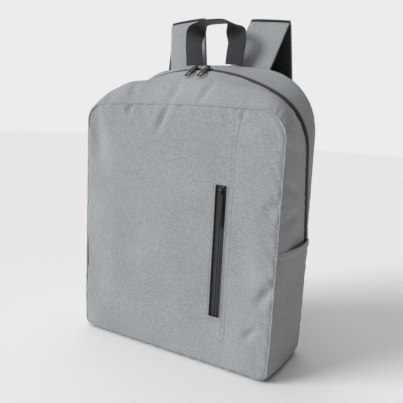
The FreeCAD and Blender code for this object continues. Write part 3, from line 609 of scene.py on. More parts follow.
def fall(distance, reach):
    """1 at no distance, fading to 0 at reach."""
    share = min(max(distance / reach, 0.0), 1.0)
    return (1 - share) ** 2 * (1 + 2 * share)


def ripple(place, seed, wave):
    """A smooth uneven wave between about -1 and 1."""
    return (sin(place / wave * 2 * pi + seed)
            + 0.6 * sin(place / wave * 1.31 * 2 * pi + seed * 2.3)
            + 0.4 * sin(place / wave * 2.17 * 2 * pi + seed * 3.7)) / 2.0


BASE_ROUND = 8 * MM
BASE_SIDE_ROUND = 15 * MM


def quarter(z, radius):
    """How far a rounded lower edge has drawn in at a height."""
    drop = max(radius - max(z, 0.0), 0.0)
    return radius - sqrt(radius ** 2 - drop ** 2)


def low_taper(z):
    """How the sides draw in towards the rounded base."""
    return -quarter(z, BASE_SIDE_ROUND) - 1.5 * MM * fall(z, 0.060)


# ------------------------------------------------------------------ front panel
SEAM_ROLL = 2.6 * MM
pocket_low, pocket_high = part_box("pocket_zip_coil")
WINDOW_X = (pocket_low.x + pocket_high.x) / 2
WINDOW_HALF = 8.0 * MM
WINDOW_LOW, WINDOW_HIGH = pocket_low.z, pocket_high.z
# the puller hangs this low over the cloth when the pocket is open
PULL_REACH = 0.026
PANEL_SEAM_X = WINDOW_X + WINDOW_HALF + 6.0 * MM

front_creases = [
    Crease((-0.015, 0, 0.331), (-0.030, 0, 0.302), 0.0050, 2.6),
    Crease((-0.073, 0, 0.338), (-0.078, 0, 0.322), 0.0040, 1.7),
    Crease((-0.136, 0, 0.322), (-0.124, 0, 0.255), 0.0120, 3.6),
    Crease((0.097, 0, 0.338), (0.092, 0, 0.322), 0.0030, 1.5),
    Crease((0.148, 0, 0.128), (0.128, 0, 0.098), 0.0060, 2.8),
    Crease((0.128, 0, 0.066), (0.112, 0, 0.050), 0.0050, 2.0),
    Crease((0.147, 0, 0.228), (0.130, 0, 0.214), 0.0070, 1.8),
    Crease((0.108, 0, 0.318), (0.138, 0, 0.296), 0.0130, -2.2),
    Crease((-0.090, 0, 0.210), (-0.020, 0, 0.120), 0.0300, 1.7),
    Crease((-0.140, 0, 0.120), (-0.110, 0, 0.050), 0.0200, 2.1),
    Crease((0.100, 0, 0.190), (0.112, 0, 0.120), 0.0140, 1.8),
]


def inside_front(x, z):
    """How far a point lies inside the front panel's outline."""
    arch = FRONT.left if x < 0 else FRONT
    corner_x, corner_z = abs(x) - arch.centre_x, z - arch.centre_z
    if corner_x > 0 and corner_z > 0:
        return arch.corner - hypot(corner_x, corner_z)
    return min(arch.half - abs(x), arch.height(x) - z, z - panel_low.z + 0.004)


def front_swell(x, z):
    """How far the front panel stands proud of its seam, at a place on it."""
    inside = max(inside_front(x, z), 0.0)
    full = min(inside / 0.060, 1.0)
    crown = 3.2 * MM * sin(full * pi / 2)
    crown *= 1 - 0.95 * exp(-((x - WINDOW_X) / 0.030) ** 2)
    roll = -1.9 * MM * fall(inside, SEAM_ROLL * 1.7)
    pucker = 0.85 * MM * ripple(x + z * 0.7, 1.7, 0.021) * fall(inside, 0.024)
    slow = 2.0 * MM * (ripple(x + z * 0.4, 4.1, 0.190) * ripple(z - x * 0.3, 2.2, 0.230))
    slow *= min(inside / 0.030, 1.0)
    point = Vector((x, 0, z))
    folds = sum(crease.at(point) for crease in front_creases)
    seam = -0.7 * MM * exp(-((x - PANEL_SEAM_X) / (1.2 * MM)) ** 2)
    near_window = max(abs(x - WINDOW_X) - WINDOW_HALF, 0.0)
    calm = 1 - exp(-(near_window / 0.010) ** 2) if PULL_REACH < z < WINDOW_HIGH else 1.0
    return crown + roll + (pucker + slow + folds) * calm + seam


def front_face(x, z):
    tuck = quarter(z, BASE_ROUND)
    return Vector((x * (1 + low_taper(z) / FRONT.half), panel_low.y - front_swell(x, z) + tuck, z))


def front_panel_cloth():
    """The panel as a grid in X and Z, gathered onto its arched outline, with the zip's window."""
    step = 2.5 * MM
    columns = round(FRONT.half * 2 / step)
    xs = sorted({round(-FRONT.half + FRONT.half * 2 * c / columns, 6) for c in range(columns + 1)}
                | {WINDOW_X - WINDOW_HALF, WINDOW_X + WINDOW_HALF})
    rows = 140
    mesh_rows = []
    for r in range(rows + 1):
        row = []
        for x in xs:
            z = panel_low.z + (FRONT.height(x) - panel_low.z) * r / rows
            row.append(front_face(x, z))
        mesh_rows.append(row)
    mesh = grid_mesh("front_panel_cloth", mesh_rows)
    bm = bmesh.new()
    bm.from_mesh(mesh)
    window = [face for face in bm.faces
              if abs(face.calc_center_median().x - WINDOW_X) < WINDOW_HALF
              and WINDOW_LOW < face.calc_center_median().z < WINDOW_HIGH]
    bmesh.ops.delete(bm, geom=window, context="FACES")
    bm.to_mesh(mesh)
    bm.free()
    face_away_from(mesh, INSIDE)
    piece = thicken(new_piece("front_panel_cloth", mesh, grey), CLOTH)
    settle(piece, "front_flap", "front_panel")
    return piece


# ------------------------------------------------------------------ gussets
GUSSET_COLUMNS = 261
RIPPLE_STEP = 4 * MM  # how far along the strip one column counts in its ripples
HANG_START = 0.45  # the share of the width at which the slack by the zip begins
gusset_creases = [
    Crease((-0.014, -0.054, 0.342), (-0.006, -0.034, 0.372), 0.0055, 3.5),
    Crease((0.030, -0.054, 0.342), (0.042, -0.030, 0.372), 0.0040, 3.8),
    Crease((-0.073, -0.054, 0.342), (-0.082, -0.034, 0.366), 0.0060, 3.2),
    Crease((-0.116, -0.054, 0.338), (-0.112, -0.036, 0.352), 0.0060, 2.6),
    Crease((0.152, -0.045, 0.250), (0.156, -0.010, 0.236), 0.0060, 2.1),
    Crease((0.152, -0.045, 0.292), (0.156, -0.006, 0.284), 0.0080, 1.9),
    Crease((0.152, -0.045, 0.205), (0.156, 0.006, 0.212), 0.0070, 1.9),
    Crease((-0.152, -0.045, 0.262), (-0.156, -0.010, 0.248), 0.0080, 2.6),
    Crease((-0.152, -0.045, 0.205), (-0.156, 0.000, 0.214), 0.0080, 2.6),
]


def gusset_cloth(name, stations, steps, seed, slack=False):
    """A strip between two outlines that ripples along its length.

    A slack one also dips at its front seam, stands full by the left shoulder and hangs by the zip.
    """
    rows = arch_rows(stations, ARCH_LOW, shares(GUSSET_COLUMNS), steps)
    built = []
    for r, row in enumerate(rows):
        place = r / steps
        middle = sin(pi * place)
        line = []
        for c, (point, normal) in enumerate(row):
            length = c * RIPPLE_STEP
            width = (rows[-1][c][0] - rows[0][c][0]).length
            to_front, to_rear = place * width, (1 - place) * width
            near = to_front if slack else 1.0
            swell = 1.0 * MM * middle
            if slack:
                swell += 6.0 * MM * exp(-((point.x + 0.090) / 0.026) ** 2) * middle
            if slack and place > HANG_START:
                crown_share = exp(-((c / (len(row) - 1) - 0.5) / 0.14) ** 2)
                swell -= 2.6 * MM * crown_share * sin(pi * (place - HANG_START) / (1 - HANG_START))
            swell -= 2.4 * MM * fall(near, SEAM_ROLL * 1.6)
            swell += 0.8 * MM * ripple(length, seed, 0.023) * fall(near, 0.026)
            swell += 0.4 * MM * ripple(length, seed + 2, 0.031) * fall(to_rear, 0.014)
            swell += 0.8 * MM * ripple(length, seed + 5, 0.150) * middle
            swell += sum(crease.at(point) for crease in gusset_creases)
            line.append(point + normal * swell)
        built.append(line)
    return panel(name, built, grey, CLOTH), laid_flat(built)


def make_seam_ridge():
    """The pinched seam allowance that stands up all along the front panel's edge."""
    line = []
    for share in shares(321):
        point, normal = FRONT.point(share, 0.012, 0.6 * MM)
        proud = 0.35 * MM * ripple(share * 0.9, 0.4, 0.027) - 0.5 * MM
        point += normal * proud
        point.x *= 1 + low_taper(point.z) / FRONT.half
        point.y += quarter(point.z, BASE_ROUND)
        line.append(point)
    ridge = new_piece("front_seam_ridge", tube_mesh(line, 1.15 * MM, 8), grey)
    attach(ridge, "front_flap")


def make_gussets():
    outlines = [(FRONT, 1.2 * MM), (BROW, 0.0), (ZIP, ZIP_REACH + 1.8 * MM)]
    front, flat = gusset_cloth("front_gusset_cloth", outlines, 26, 0.6, slack=True)
    bends_with_flap(front, "front_gusset")
    outlines = [(ZIP, -ZIP_REACH), (BACK, 0.0)]
    rear, flat = gusset_cloth("rear_gusset_cloth", outlines, 16, 3.3)
    settle(rear, "root", "rear_gusset")
    # the strip tapers down each side, so its cut is not a rectangle
    plain = [[point for point, normal in row]
             for row in arch_rows(outlines, ARCH_LOW, shares(GUSSET_COLUMNS), 16)]
    strip_area(plain)


# ------------------------------------------------------------------ zips
ZIP_SLOT = 0.15 * MM  # half the gap between the two halves of a chain


def zip_strip(name, start, end, inset, out, thickness, material, node):
    """Tape or coil between two distances ahead of the zip plane, inset under the cloth's edge."""
    arch = Arch(ZIP.half - inset, ZIP.top - inset, ZIP.corner - inset, ZIP.crown - inset,
                ZIP.cross, degrees(ZIP.lean))
    rows = []
    steps = 4
    for r in range(steps + 1):
        ahead = start + (end - start) * r / steps
        bow = out * cos(pi / 2 * (r / steps) ** 2)
        line = []
        for share in shares(361):
            point, normal = arch.point(share, ARCH_LOW + 0.004, ahead)
            line.append(point + normal * bow)
        rows.append(line)
    # the coils run across the rows, so the columns carry the ribs
    piece = panel(name, [list(column) for column in zip(*rows)], material, thickness)
    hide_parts(node)
    return piece


def make_main_zip():
    kinds = (("tape", tape, ZIP_REACH + 3.3 * MM, 2.2 * MM, 2.2 * MM, 0.8 * MM),
             ("coil", coil, 2.9 * MM, 0.6 * MM, 2.0 * MM, 1.0 * MM))
    for kind, material, reach, inset, bow, thickness in kinds:
        for half, sign in (("front", 1), ("rear", -1)):
            piece = zip_strip(f"main_zip_{kind}_{half}", ZIP_SLOT * sign, reach * sign, inset, bow,
                              thickness, material, f"zip_{kind}_{half}")
            if half == "front":
                bends_with_flap(piece)
            else:
                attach(piece, "root")


def upright_strip(name, x_low, x_high, y, z_low, z_high, bow, material, columns=8):
    """A straight strip of tape or coil on the front, bowed out across its width."""
    rows = surface(80, columns, lambda up, along: Vector((
        x_low + (x_high - x_low) * along, y - bow * sin(pi * along), z_low + (z_high - z_low) * up)))
    return panel(name, rows, material, 0.8 * MM)


def make_pocket_zip():
    tape_low, tape_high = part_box("pocket_zip_tape")
    face = tape_low.y
    cover = upright_strip("pocket_zip_tape_cloth", tape_low.x, tape_high.x, face,
                          tape_low.z, tape_high.z, 0.3 * MM, tape, 20)
    settle(cover, "front_flap", "pocket_zip_tape")
    halves = []
    for side in (-1, 1):
        inner, outer = WINDOW_X + ZIP_SLOT * side, WINDOW_X + 3.2 * MM * side
        halves.append(upright_strip(f"pocket_coil_half_{side + 1}", min(inner, outer), max(inner, outer),
                                    face - 0.3 * MM, WINDOW_LOW, WINDOW_HIGH, 0.8 * MM,
                                    coil))
    for piece in halves:
        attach(piece, "front_flap")
    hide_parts("pocket_zip_coil")
    halves[0].name, halves[1].name = "pocket_zip_coil_left", "pocket_zip_coil_right"
    lip()


def lip():
    """The turned edge of cloth round the pocket's window."""
    half, low, high = WINDOW_HALF, WINDOW_LOW, WINDOW_HIGH
    middle = (low + high) / 2
    line = [Vector((WINDOW_X + x, 0, middle + z))
            for x, z in rounded(half * 2 + 1.2 * MM, high - low + 1.2 * MM, 2.2 * MM)]
    line.append(line[0])
    line = [Vector((p.x, front_face(p.x, p.z).y + 0.3 * MM, p.z)) for p in line]
    mesh = tube_mesh(line, 0.9 * MM, 8)
    piece = new_piece("pocket_window_edge", mesh, grey)
    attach(piece, "front_flap")


def stitches(name, line, pitch=3.0 * MM, length=1.9 * MM, radius=0.22 * MM, material=None, out=None):
    """A row of short threads lying along a line of points on cloth."""
    parts = []
    travelled, target = 0.0, 0.0
    for a, b in zip(line, line[1:]):
        run = (b - a).length
        while target <= travelled + run and run > 1e-9:
            centre = a + (b - a) * ((target - travelled) / run)
            ahead = (b - a).normalized()
            ends = [centre - ahead * length / 2, centre + out * radius * 1.2,
                    centre + ahead * length / 2]
            parts.append((tube_mesh(ends, radius, 5), Matrix.Identity(4)))
            target += pitch
        travelled += run
    return joined(name, parts, material or thread)


def make_front_stitching():
    rise = 0.25 * MM
    edge = WINDOW_HALF + 2.6 * MM
    for name, side in SIDES:
        x = WINDOW_X + edge * side
        line = [front_face(x, WINDOW_LOW - 3 * MM + (WINDOW_HIGH - WINDOW_LOW + 6 * MM) * s / 60)
                + FORWARD * rise for s in range(61)]
        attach(stitches(f"pocket_stitch_{name}", line, out=FORWARD, material=grey), "front_flap")
    for name, z in (("top", WINDOW_HIGH + 3.4 * MM), ("bottom", WINDOW_LOW - 3.4 * MM)):
        line = [front_face(WINDOW_X + edge * (s / 5 - 1), z) + FORWARD * rise for s in range(11)]
        piece = stitches(f"pocket_stitch_{name}", line, 2.6 * MM, out=FORWARD,
                         material=thread if name == "top" else grey)
        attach(piece, "front_flap")
    line = []
    for s in range(121):
        z = 0.012 + (FRONT.top - 0.022) * s / 120
        x = PANEL_SEAM_X + 2.2 * MM + 6 * MM * fall(FRONT.top - z, 0.050)
        line.append(front_face(x, z) + FORWARD * rise)
    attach(stitches("panel_seam_stitch", line, 3.2 * MM, out=FORWARD, material=grey), "front_flap")


# ------------------------------------------------------------------ sliders and pullers
def rod_mesh(radius, length, along):
    """A round rod centred on the origin."""
    bm = bmesh.new()
    bmesh.ops.create_cone(bm, cap_ends=True, segments=28, radius1=radius, radius2=radius, depth=length)
    mesh = bpy.data.meshes.new("rod")
    bm.to_mesh(mesh)
    bm.free()
    mesh.transform(Vector(along).to_track_quat("Z", "X").to_matrix().to_4x4())
    return mesh


SLIDER_WIDE, SLIDER_LONG, SLIDER_PLATE = 8.6 * MM, 11.0 * MM, 1.4 * MM
PULL_THICK = 1.5 * MM
PULL_SHOULDER = 4.4 * MM  # from the hinge to where the puller's blade begins
MAIN_PULL, POCKET_PULL = (28.0 * MM, 7.0 * MM), (45.0 * MM, 7.4 * MM)  # length and width
MAIN_DROOP = 20.0  # degrees that a puller at rest leans down from its slider


def slider_parts(outer, inner, bar_z, bar):
    """A cast slider in its own frame: travel X, across Y, outwards Z. Its bar lies along bar."""
    half = SLIDER_LONG / 2
    wings = [(-half, SLIDER_WIDE * 0.30), (-half * 0.30, SLIDER_WIDE * 0.36),
             (half * 0.32, SLIDER_WIDE / 2), (half * 0.84, SLIDER_WIDE / 2), (half, SLIDER_WIDE * 0.36)]
    outline = wings + [(x, -y) for x, y in reversed(wings)]
    parts = [(plate_mesh([outline], SLIDER_PLATE, 0.4 * MM), Matrix.Translation((0, 0, z)))
             for z in (outer + SLIDER_PLATE / 2, inner - SLIDER_PLATE / 2)]
    base = outer + SLIDER_PLATE * 0.7
    parts.append((rod_mesh(0.75 * MM, 4.8 * MM, bar), Matrix.Translation((0, 0, bar_z))))
    # each lug is a rounded cheek that holds one end of the bar
    for side in (-1, 1):
        rise = bar_z + 1.2 * MM - base
        cheek = plate_mesh([rounded(2.8 * MM, rise, 1.1 * MM)], 1.0 * MM, 0.25 * MM)
        stand = basis(bar * (2.2 * MM * side) + Vector((0, 0, base + rise / 2)),
                      UP.cross(bar), UP, bar)
        parts.append((cheek, stand))
    return parts


def puller_parts(length, width, window):
    """A puller in its own frame: hinged on X, lying along -Y."""
    here = Matrix.Identity(4)
    neck = rounded(2.8 * MM, 5.4 * MM, 0.9 * MM, (0, -3.4 * MM))
    body_long = length - PULL_SHOULDER
    loops = [rounded(width, body_long, 1.5 * MM, (0, -PULL_SHOULDER - body_long / 2))]
    if window:
        open_long = body_long * 0.42
        loops.append(rounded(width - 3.0 * MM, open_long, 0.8 * MM,
                             (0, -length + 1.5 * MM + open_long / 2))[::-1])
    parts = [(rod_mesh(1.85 * MM, 3.0 * MM, RIGHT), here),
             (plate_mesh([neck], PULL_THICK, 0.35 * MM), here),
             (plate_mesh(loops, PULL_THICK, 0.35 * MM), here)]
    if not window:
        ridge = rounded(width - 2.4 * MM, body_long * 0.30, 0.8 * MM, (0, -length + body_long * 0.24))
        parts.append((plate_mesh([ridge], 0.8 * MM, 0.2 * MM), Matrix.Translation((0, 0, 0.7 * MM))))
    return parts


def cast(name, node, matrix, parts):
    """A metal piece in place of the node of the same body."""
    piece = joined(name, [(mesh, matrix @ place) for mesh, place in parts], black_metal)
    settle(piece, node, node)


def make_sliders():
    bar_z = 4.7 * MM
    for name in ("left", "right"):
        swing = joints[f"main_puller_{name}_swing"]
        travel = joints[f"main_slider_{name}_travel"]
        along = -Vector(swing["axis"]).normalized()
        across = Vector(travel["axis"]).normalized()
        out = along.cross(across).normalized()
        pin = Vector(swing["pos_m"])
        cast(f"main_slider_{name}_cast", f"main_slider_{name}",
             basis(pin - out * bar_z, along, across, out),
             slider_parts(0.9 * MM, -3.4 * MM, bar_z, RIGHT))
        droop = Matrix.Rotation(radians(MAIN_DROOP), 4, "X")
        cast(f"main_puller_{name}_bar", f"main_puller_{name}", basis(pin, along, across, out) @ droop,
             puller_parts(*MAIN_PULL, window=True))
    bar_z = 4.0 * MM
    pin = Vector(joints["pocket_puller_swing"]["pos_m"])
    cast("pocket_slider_cast", "pocket_slider", basis(pin - FORWARD * bar_z, UP, RIGHT, FORWARD),
         slider_parts(0.2 * MM, -2.8 * MM, bar_z, Vector((0, 1, 0))))
    cast("pocket_puller_bar", "pocket_puller", basis(pin, RIGHT, UP, FORWARD),
         puller_parts(*POCKET_PULL, window=False))


# ------------------------------------------------------------------ base, sides and bottle pockets
SIDE_LOW, GUSSET_TOP = 0.002, 0.172


def side_x(side, y, sag):
    """The side's half width at a depth, bowed out in the middle of its depth."""
    share = (y + 0.0514) / 0.1066
    straight = 0.150 + 0.0035 * share
    return side * (straight + sag * sin(pi * min(max(share, 0.0), 1.0)))


def side_rear(z):
    return 0.056 - z * BACK_SLOPE - 0.0003


def side_depth(share, z):
    """Front to back across a side, drawn in where the base is rounded."""
    tuck = quarter(z, BASE_ROUND)
    front = -0.0532 + tuck
    return front + (side_rear(z) + 0.0006 - tuck - front) * share


def at_ends(share, span, reach):
    """1 at both ends of a span, fading to 0 within reach of each."""
    return fall(share * span, reach) + fall((1 - share) * span, reach)


def make_sides():
    for name, side in SIDES:
        def gusset_point(up, depth):
            z = SIDE_LOW + (GUSSET_TOP - SIDE_LOW) * up
            y = side_depth(depth, z)
            wave = 0.7 * MM * ripple(z + y, 1.1 + side, 0.080)
            return Vector((side_x(side, y, 2.0 * MM) + side * (wave + low_taper(z)), y, z))

        rows = surface(60, 40, gusset_point)
        gusset = panel(f"side_gusset_{name}_cloth", rows, grey, CLOTH)
        bends_with_flap(gusset, f"side_gusset_{name}")

        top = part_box(f"side_pocket_{name}")[1].z

        def pocket_point(up, depth):
            z = SIDE_LOW + (top - SIDE_LOW) * up
            y = side_depth(depth, z)
            bow = side_x(side, y, (3.0 + 5.0 * up ** 3) * MM) + side * 1.6 * MM
            folds = 0.9 * MM * ripple(z * 1.2 + y * 0.5, 2.6 + side, 0.070) * sin(pi * depth)
            pinch = 0.6 * MM * ripple(z, 5.0 + side, 0.024) * at_ends(depth, 0.1, 0.016)
            gather = -1.6 * MM * at_ends(depth, 0.108, 0.006)
            return Vector((bow + side * (folds + pinch + gather + low_taper(z)), y, z))

        rows = surface(70, 48, pocket_point)
        pocket = panel(f"side_pocket_{name}_cloth", rows, grey, CLOTH)
        bends_with_flap(pocket, f"side_pocket_{name}")

        edge = rows[-1]
        hem_rows = [[p + Vector((side * lift, 0, drop)) for p in edge]
                    for lift, drop in ((0.7 * MM, -9 * MM), (0.9 * MM, -8 * MM), (0.9 * MM, -1 * MM),
                                       (0.4 * MM, 0.6 * MM), (-1.2 * MM, 0.4 * MM), (-1.8 * MM, -1 * MM))]
        below = rows[-5]
        for index, point in enumerate(hem_rows[0]):
            point.x = below[index].x + side * 0.5 * MM
        hem = panel(f"pocket_hem_{name}_cloth", hem_rows, grey, 0.9 * MM)
        bends_with_flap(hem, f"pocket_hem_{name}")


def make_bottom():
    """A tray with rounded corners that stands on its flat middle."""
    half = base_high.x
    front, rear = base_low.y - 0.6 * MM, base_high.y
    middle = (front + rear) / 2
    rows = []
    for share in (0.02, 0.4, 0.8):
        loop = rounded((half - BASE_SIDE_ROUND) * 2 * share, (rear - front - 16 * MM) * share,
                       8 * MM * share, (0, middle), 8)
        rows.append([Vector((x, y, 0)) for x, y in loop])
    for step in range(15):
        z = step * MM
        width = (half + low_taper(z)) * 2
        depth = rear - front - quarter(z, BASE_ROUND) * 2
        loop = rounded(width, depth, 9 * MM, (0, middle), 8)
        rows.append([Vector((x, y, z)) for x, y in loop])
    mesh = grid_mesh("bottom_panel_cloth", rows, closed=True)
    close_rings(mesh, len(rows[0]), last=False, outwards=False)
    face_away_from(mesh, Vector((0, 0, 0.1)))
    piece = thicken(new_piece("bottom_panel_cloth", mesh, grey), CLOTH)
    settle(piece, "root", "bottom_panel")


# ------------------------------------------------------------------ back
def arched_grid(half, low, top_of, rows, columns, place):
    """A panel of points under a top line, laid out by place(x, z)."""
    def point(up, along):
        x = -half + half * 2 * along
        return place(x, low + (top_of(x) - low) * up)

    return surface(rows, columns, point)


BACK_FACE = 0.0575  # the back cloth's face, at floor height
PAD_CORNER, PAD_EDGE, PAD_RISE = 0.044, 0.022, 10.5 * MM
CHANNEL_X, CHANNELS_Z = 0.042, (0.118, 0.212, 0.306)
CHANNEL_WIDE, CHANNEL_DEEP = 0.0045, 5.5 * MM


def make_back():

    def back_face(x, z):
        tuck = quarter(z, BASE_ROUND)
        return Vector((x * (1 + low_taper(z) / BACK.half), BACK_FACE - z * BACK_SLOPE - tuck, z))

    rows = arched_grid(BACK.half, 0.0015, BACK.height, 100, 90, back_face)
    cloth = panel("back_panel_cloth", rows, grey, CLOTH)
    settle(cloth, "root", "back_panel")

    low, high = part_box("back_mesh")
    half = high.x

    def pad_top(x):
        crown = high.z - 0.012 * (x / half) ** 2
        inside = abs(x) - (half - PAD_CORNER)
        if inside <= 0:
            return crown
        return crown - PAD_CORNER + sqrt(max(PAD_CORNER ** 2 - inside ** 2, 0.0))

    def pad_face(x, z):
        edge = max(min(half - abs(x), pad_top(x) - z, z - low.z), 0.0)
        full = min(edge / PAD_EDGE, 1.0)
        groove = sum(exp(-((x - at) / CHANNEL_WIDE) ** 2) for at in (-CHANNEL_X, CHANNEL_X))
        if abs(x) > CHANNEL_X:
            groove += sum(exp(-((z - at) / CHANNEL_WIDE) ** 2) for at in CHANNELS_Z)
        swell = PAD_RISE * sin(full * pi / 2) - CHANNEL_DEEP * min(groove, 1.0) * full
        return Vector((x, BACK_FACE + 0.8 * MM - z * BACK_SLOPE + max(swell, 0.4 * MM), z))

    rows = arched_grid(half, low.z, pad_top, 170, 120, pad_face)
    pad = panel("back_pad_mesh", rows, air_mesh, 1.4 * MM)
    settle(pad, "root", "back_mesh", "back_foam")

    outline = [(x, pad_top(x)) for x in [half - half * 2 * s / 60 for s in range(61)]]
    outline = [(half, low.z + 1 * MM)] + outline + [(-half, low.z + 1 * MM)]
    line = [Vector((x * 0.992, BACK_FACE + 1.7 * MM - z * BACK_SLOPE, z)) for x, z in outline]
    edge = new_piece("back_pad_binding", tube_mesh(smooth_line(line, 240), 1.7 * MM, 8), binding)
    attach(edge, "root")


# ------------------------------------------------------------------ inside
def lined_box(name, low, high, lean, wall, material, seed, open_top=False):
    """A soft-walled sleeve or bag with slightly slack faces."""
    rows = []
    for r in range(41):
        z = low.z + (high.z - low.z) * r / 40
        shift = -(z - low.z) * lean
        front, rear = low.y + shift, high.y + shift
        loop = rounded(high.x - low.x, rear - front, min(3 * MM, (rear - front) / 2.2),
                       ((low.x + high.x) / 2, (front + rear) / 2), 4)
        slack = 0.5 * MM * ripple(z, seed, 0.090)
        rows.append([Vector((x, y + slack * sin(pi * (x - low.x) / (high.x - low.x)), z))
                     for x, y in loop])
    mesh = grid_mesh(name, rows, closed=True)
    close_rings(mesh, len(rows[0]), last=not open_top)
    return thicken(new_piece(name, mesh, material), wall)


def make_inside():
    low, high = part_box("laptop_sleeve")
    deep = 16.0 * MM
    rear = 0.0550 - low.z * BACK_SLOPE
    sleeve = lined_box("laptop_sleeve_cloth", Vector((low.x, rear - deep, low.z)),
                       Vector((high.x, rear, high.z)), BACK_SLOPE, 2.0 * MM, lining, 1.3, True)
    settle(sleeve, "root", "laptop_sleeve")
    y = rear - deep - (high.z - low.z) * BACK_SLOPE
    line = [Vector((low.x + (high.x - low.x) * s / 30, y + 1.4 * MM, high.z + 3.5 * MM)) for s in range(31)]
    edge = ribbon("sleeve_binding_tape", line, lambda share: UP, 9.0 * MM, 4.0 * MM, binding)
    settle(edge, "root", "sleeve_binding")

    low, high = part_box("front_pocket_bag")
    bag = lined_box("front_pocket_bag_cloth", Vector((low.x, low.y + 0.9 * MM, low.z)), high, 0.0,
                    1.0 * MM, lining, 2.9)
    settle(bag, "front_flap", "front_pocket_bag")

    for name, arch, ahead, sink, body in (("front", FRONT, -3.4 * MM, 5.2 * MM, "front_flap"),
                                          ("rear", BACK, 3.4 * MM, 7.2 * MM, "root")):
        line, sides = [], []
        for share in shares(201):
            point, normal = arch.point(share, 0.186, ahead)
            line.append(point - normal * sink)
            sides.append((Vector((0, 1, 0)), normal))
        piece = swept(f"{name}_seam_binding_tape", line, sides, [band_loop(6 * MM, 1.2 * MM)] * len(line),
                      binding)
        settle(piece, body, f"{name}_seam_binding")


# ------------------------------------------------------------------ straps, handle and webbing
WEBBING_WIDE, WEBBING_THICK = 25 * MM, 1.4 * MM
LEG_INNER, LEG_OUTER = 0.019, 0.047  # the handle's legs, from the middle of the bag


def level_webbing(name, line):
    """A length of webbing whose width stays level."""
    return ribbon(name, line, lambda share: RIGHT, WEBBING_WIDE, WEBBING_THICK, webbing)


def make_handle():
    """A webbing loop whose legs face the front and whose span turns over at both corners."""
    low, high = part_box("grab_handle")
    y = (low.y + high.y) / 2
    leg = (LEG_INNER + LEG_OUTER) / 2
    top = high.z - 0.8 * MM
    half_path = [Vector((x, y, z)) for x, z in (
        (leg - 1.0 * MM, low.z + 0.1 * MM), (leg, low.z + 0.014), (leg + 1.5 * MM, low.z + 0.032),
        (leg - 3 * MM, top - 0.010), (leg - 0.013, top - 0.0015), (0.0, top))]
    path = half_path + [Vector((-p.x, p.y, p.z)) for p in reversed(half_path[:-1])]
    line = smooth_line(path, 150)

    def across(share):
        away = abs(share - 0.5) * 2
        turn = 1 - min(max((away - 0.22) / 0.40, 0.0), 1.0)
        angle = pi / 2 * turn * turn * (3 - 2 * turn)
        return Vector((cos(angle), sin(angle), 0))

    piece = ribbon("grab_handle_webbing", line, across, 27.0 * MM, 1.8 * MM, webbing)
    settle(piece, "grab_handle", "grab_handle")


CREST_SKEW, CREST_LIFT = -4.0 * MM, -3.0 * MM  # both straps lean one way, and one stands higher
STRAP_TOP, STRAP_END = 0.061, 0.051  # widths
RISE_POINTS = 26  # the points of a strap's line before it turns down


def strap_route(side):
    """The strap's middle line: up from the yoke, over a sharp crest, and down behind the back."""
    rise = Vector((0.0485 * side, 0.0505, 0.388))
    skew, lift = CREST_SKEW, CREST_LIFT * side
    crest = Vector((0.0675 * side + skew, 0.0800, 0.462 + lift))
    over = Vector((0.0677 * side + skew, 0.0840, 0.4660 + lift))
    back = Vector((0.0680 * side + skew, 0.0868, 0.460 + lift))
    end = Vector((0.0905 * side, 0.0808, 0.150))
    line = [rise.lerp(crest, s / 24) for s in range(24)]
    line += smooth_line([crest, over, back], 13)
    line += [back.lerp(end, s / 80) + Vector((side * 0.004 * sin(pi * s / 80), 0, 0))
             for s in range(1, 81)]
    return line


def make_straps():
    for name, side in SIDES:
        line = strap_route(side)
        ahead = tangents(line)
        slope = Vector((side, 0, -0.11)).normalized()
        for layer, shift, thick, material, nodes in (
                ("cover", 1.5 * MM, 4.2 * MM, grey, ("cover", "foam")),
                ("mesh", -2.3 * MM, 4.8 * MM, air_mesh, ("mesh",))):
            centres, sides, loops = [], [], []
            for index, (point, run) in enumerate(zip(line, ahead)):
                across = slope - run * slope.dot(run)
                across.normalize()
                out = run.cross(across) * -side
                if out.dot(Vector((0, -1, 0.6)) if index < RISE_POINTS else Vector((0, 1, 0.6))) < 0:
                    out = -out
                share = index / (len(line) - 1)
                width = (STRAP_TOP + (STRAP_END - STRAP_TOP) * share) - (0.8 * MM if layer == "mesh" else 0)
                centres.append(point + out * shift)
                sides.append((across, out))
                loops.append(pillow_loop(width, thick))
            piece = swept(f"shoulder_strap_{layer}_{name}", centres, sides, loops, material)
            settle(piece, f"shoulder_strap_{name}", *[f"strap_{node}_{name}" for node in nodes])


LOWER_ROUTE = ((0.1330, 0.0600, 0.036), (0.1330, 0.0620, 0.047), (0.1310, 0.0690, 0.060),
               (0.1120, 0.0730, 0.083), (0.0930, 0.0773, 0.106))
TAB_Z = 0.039  # the middle of each lower tab


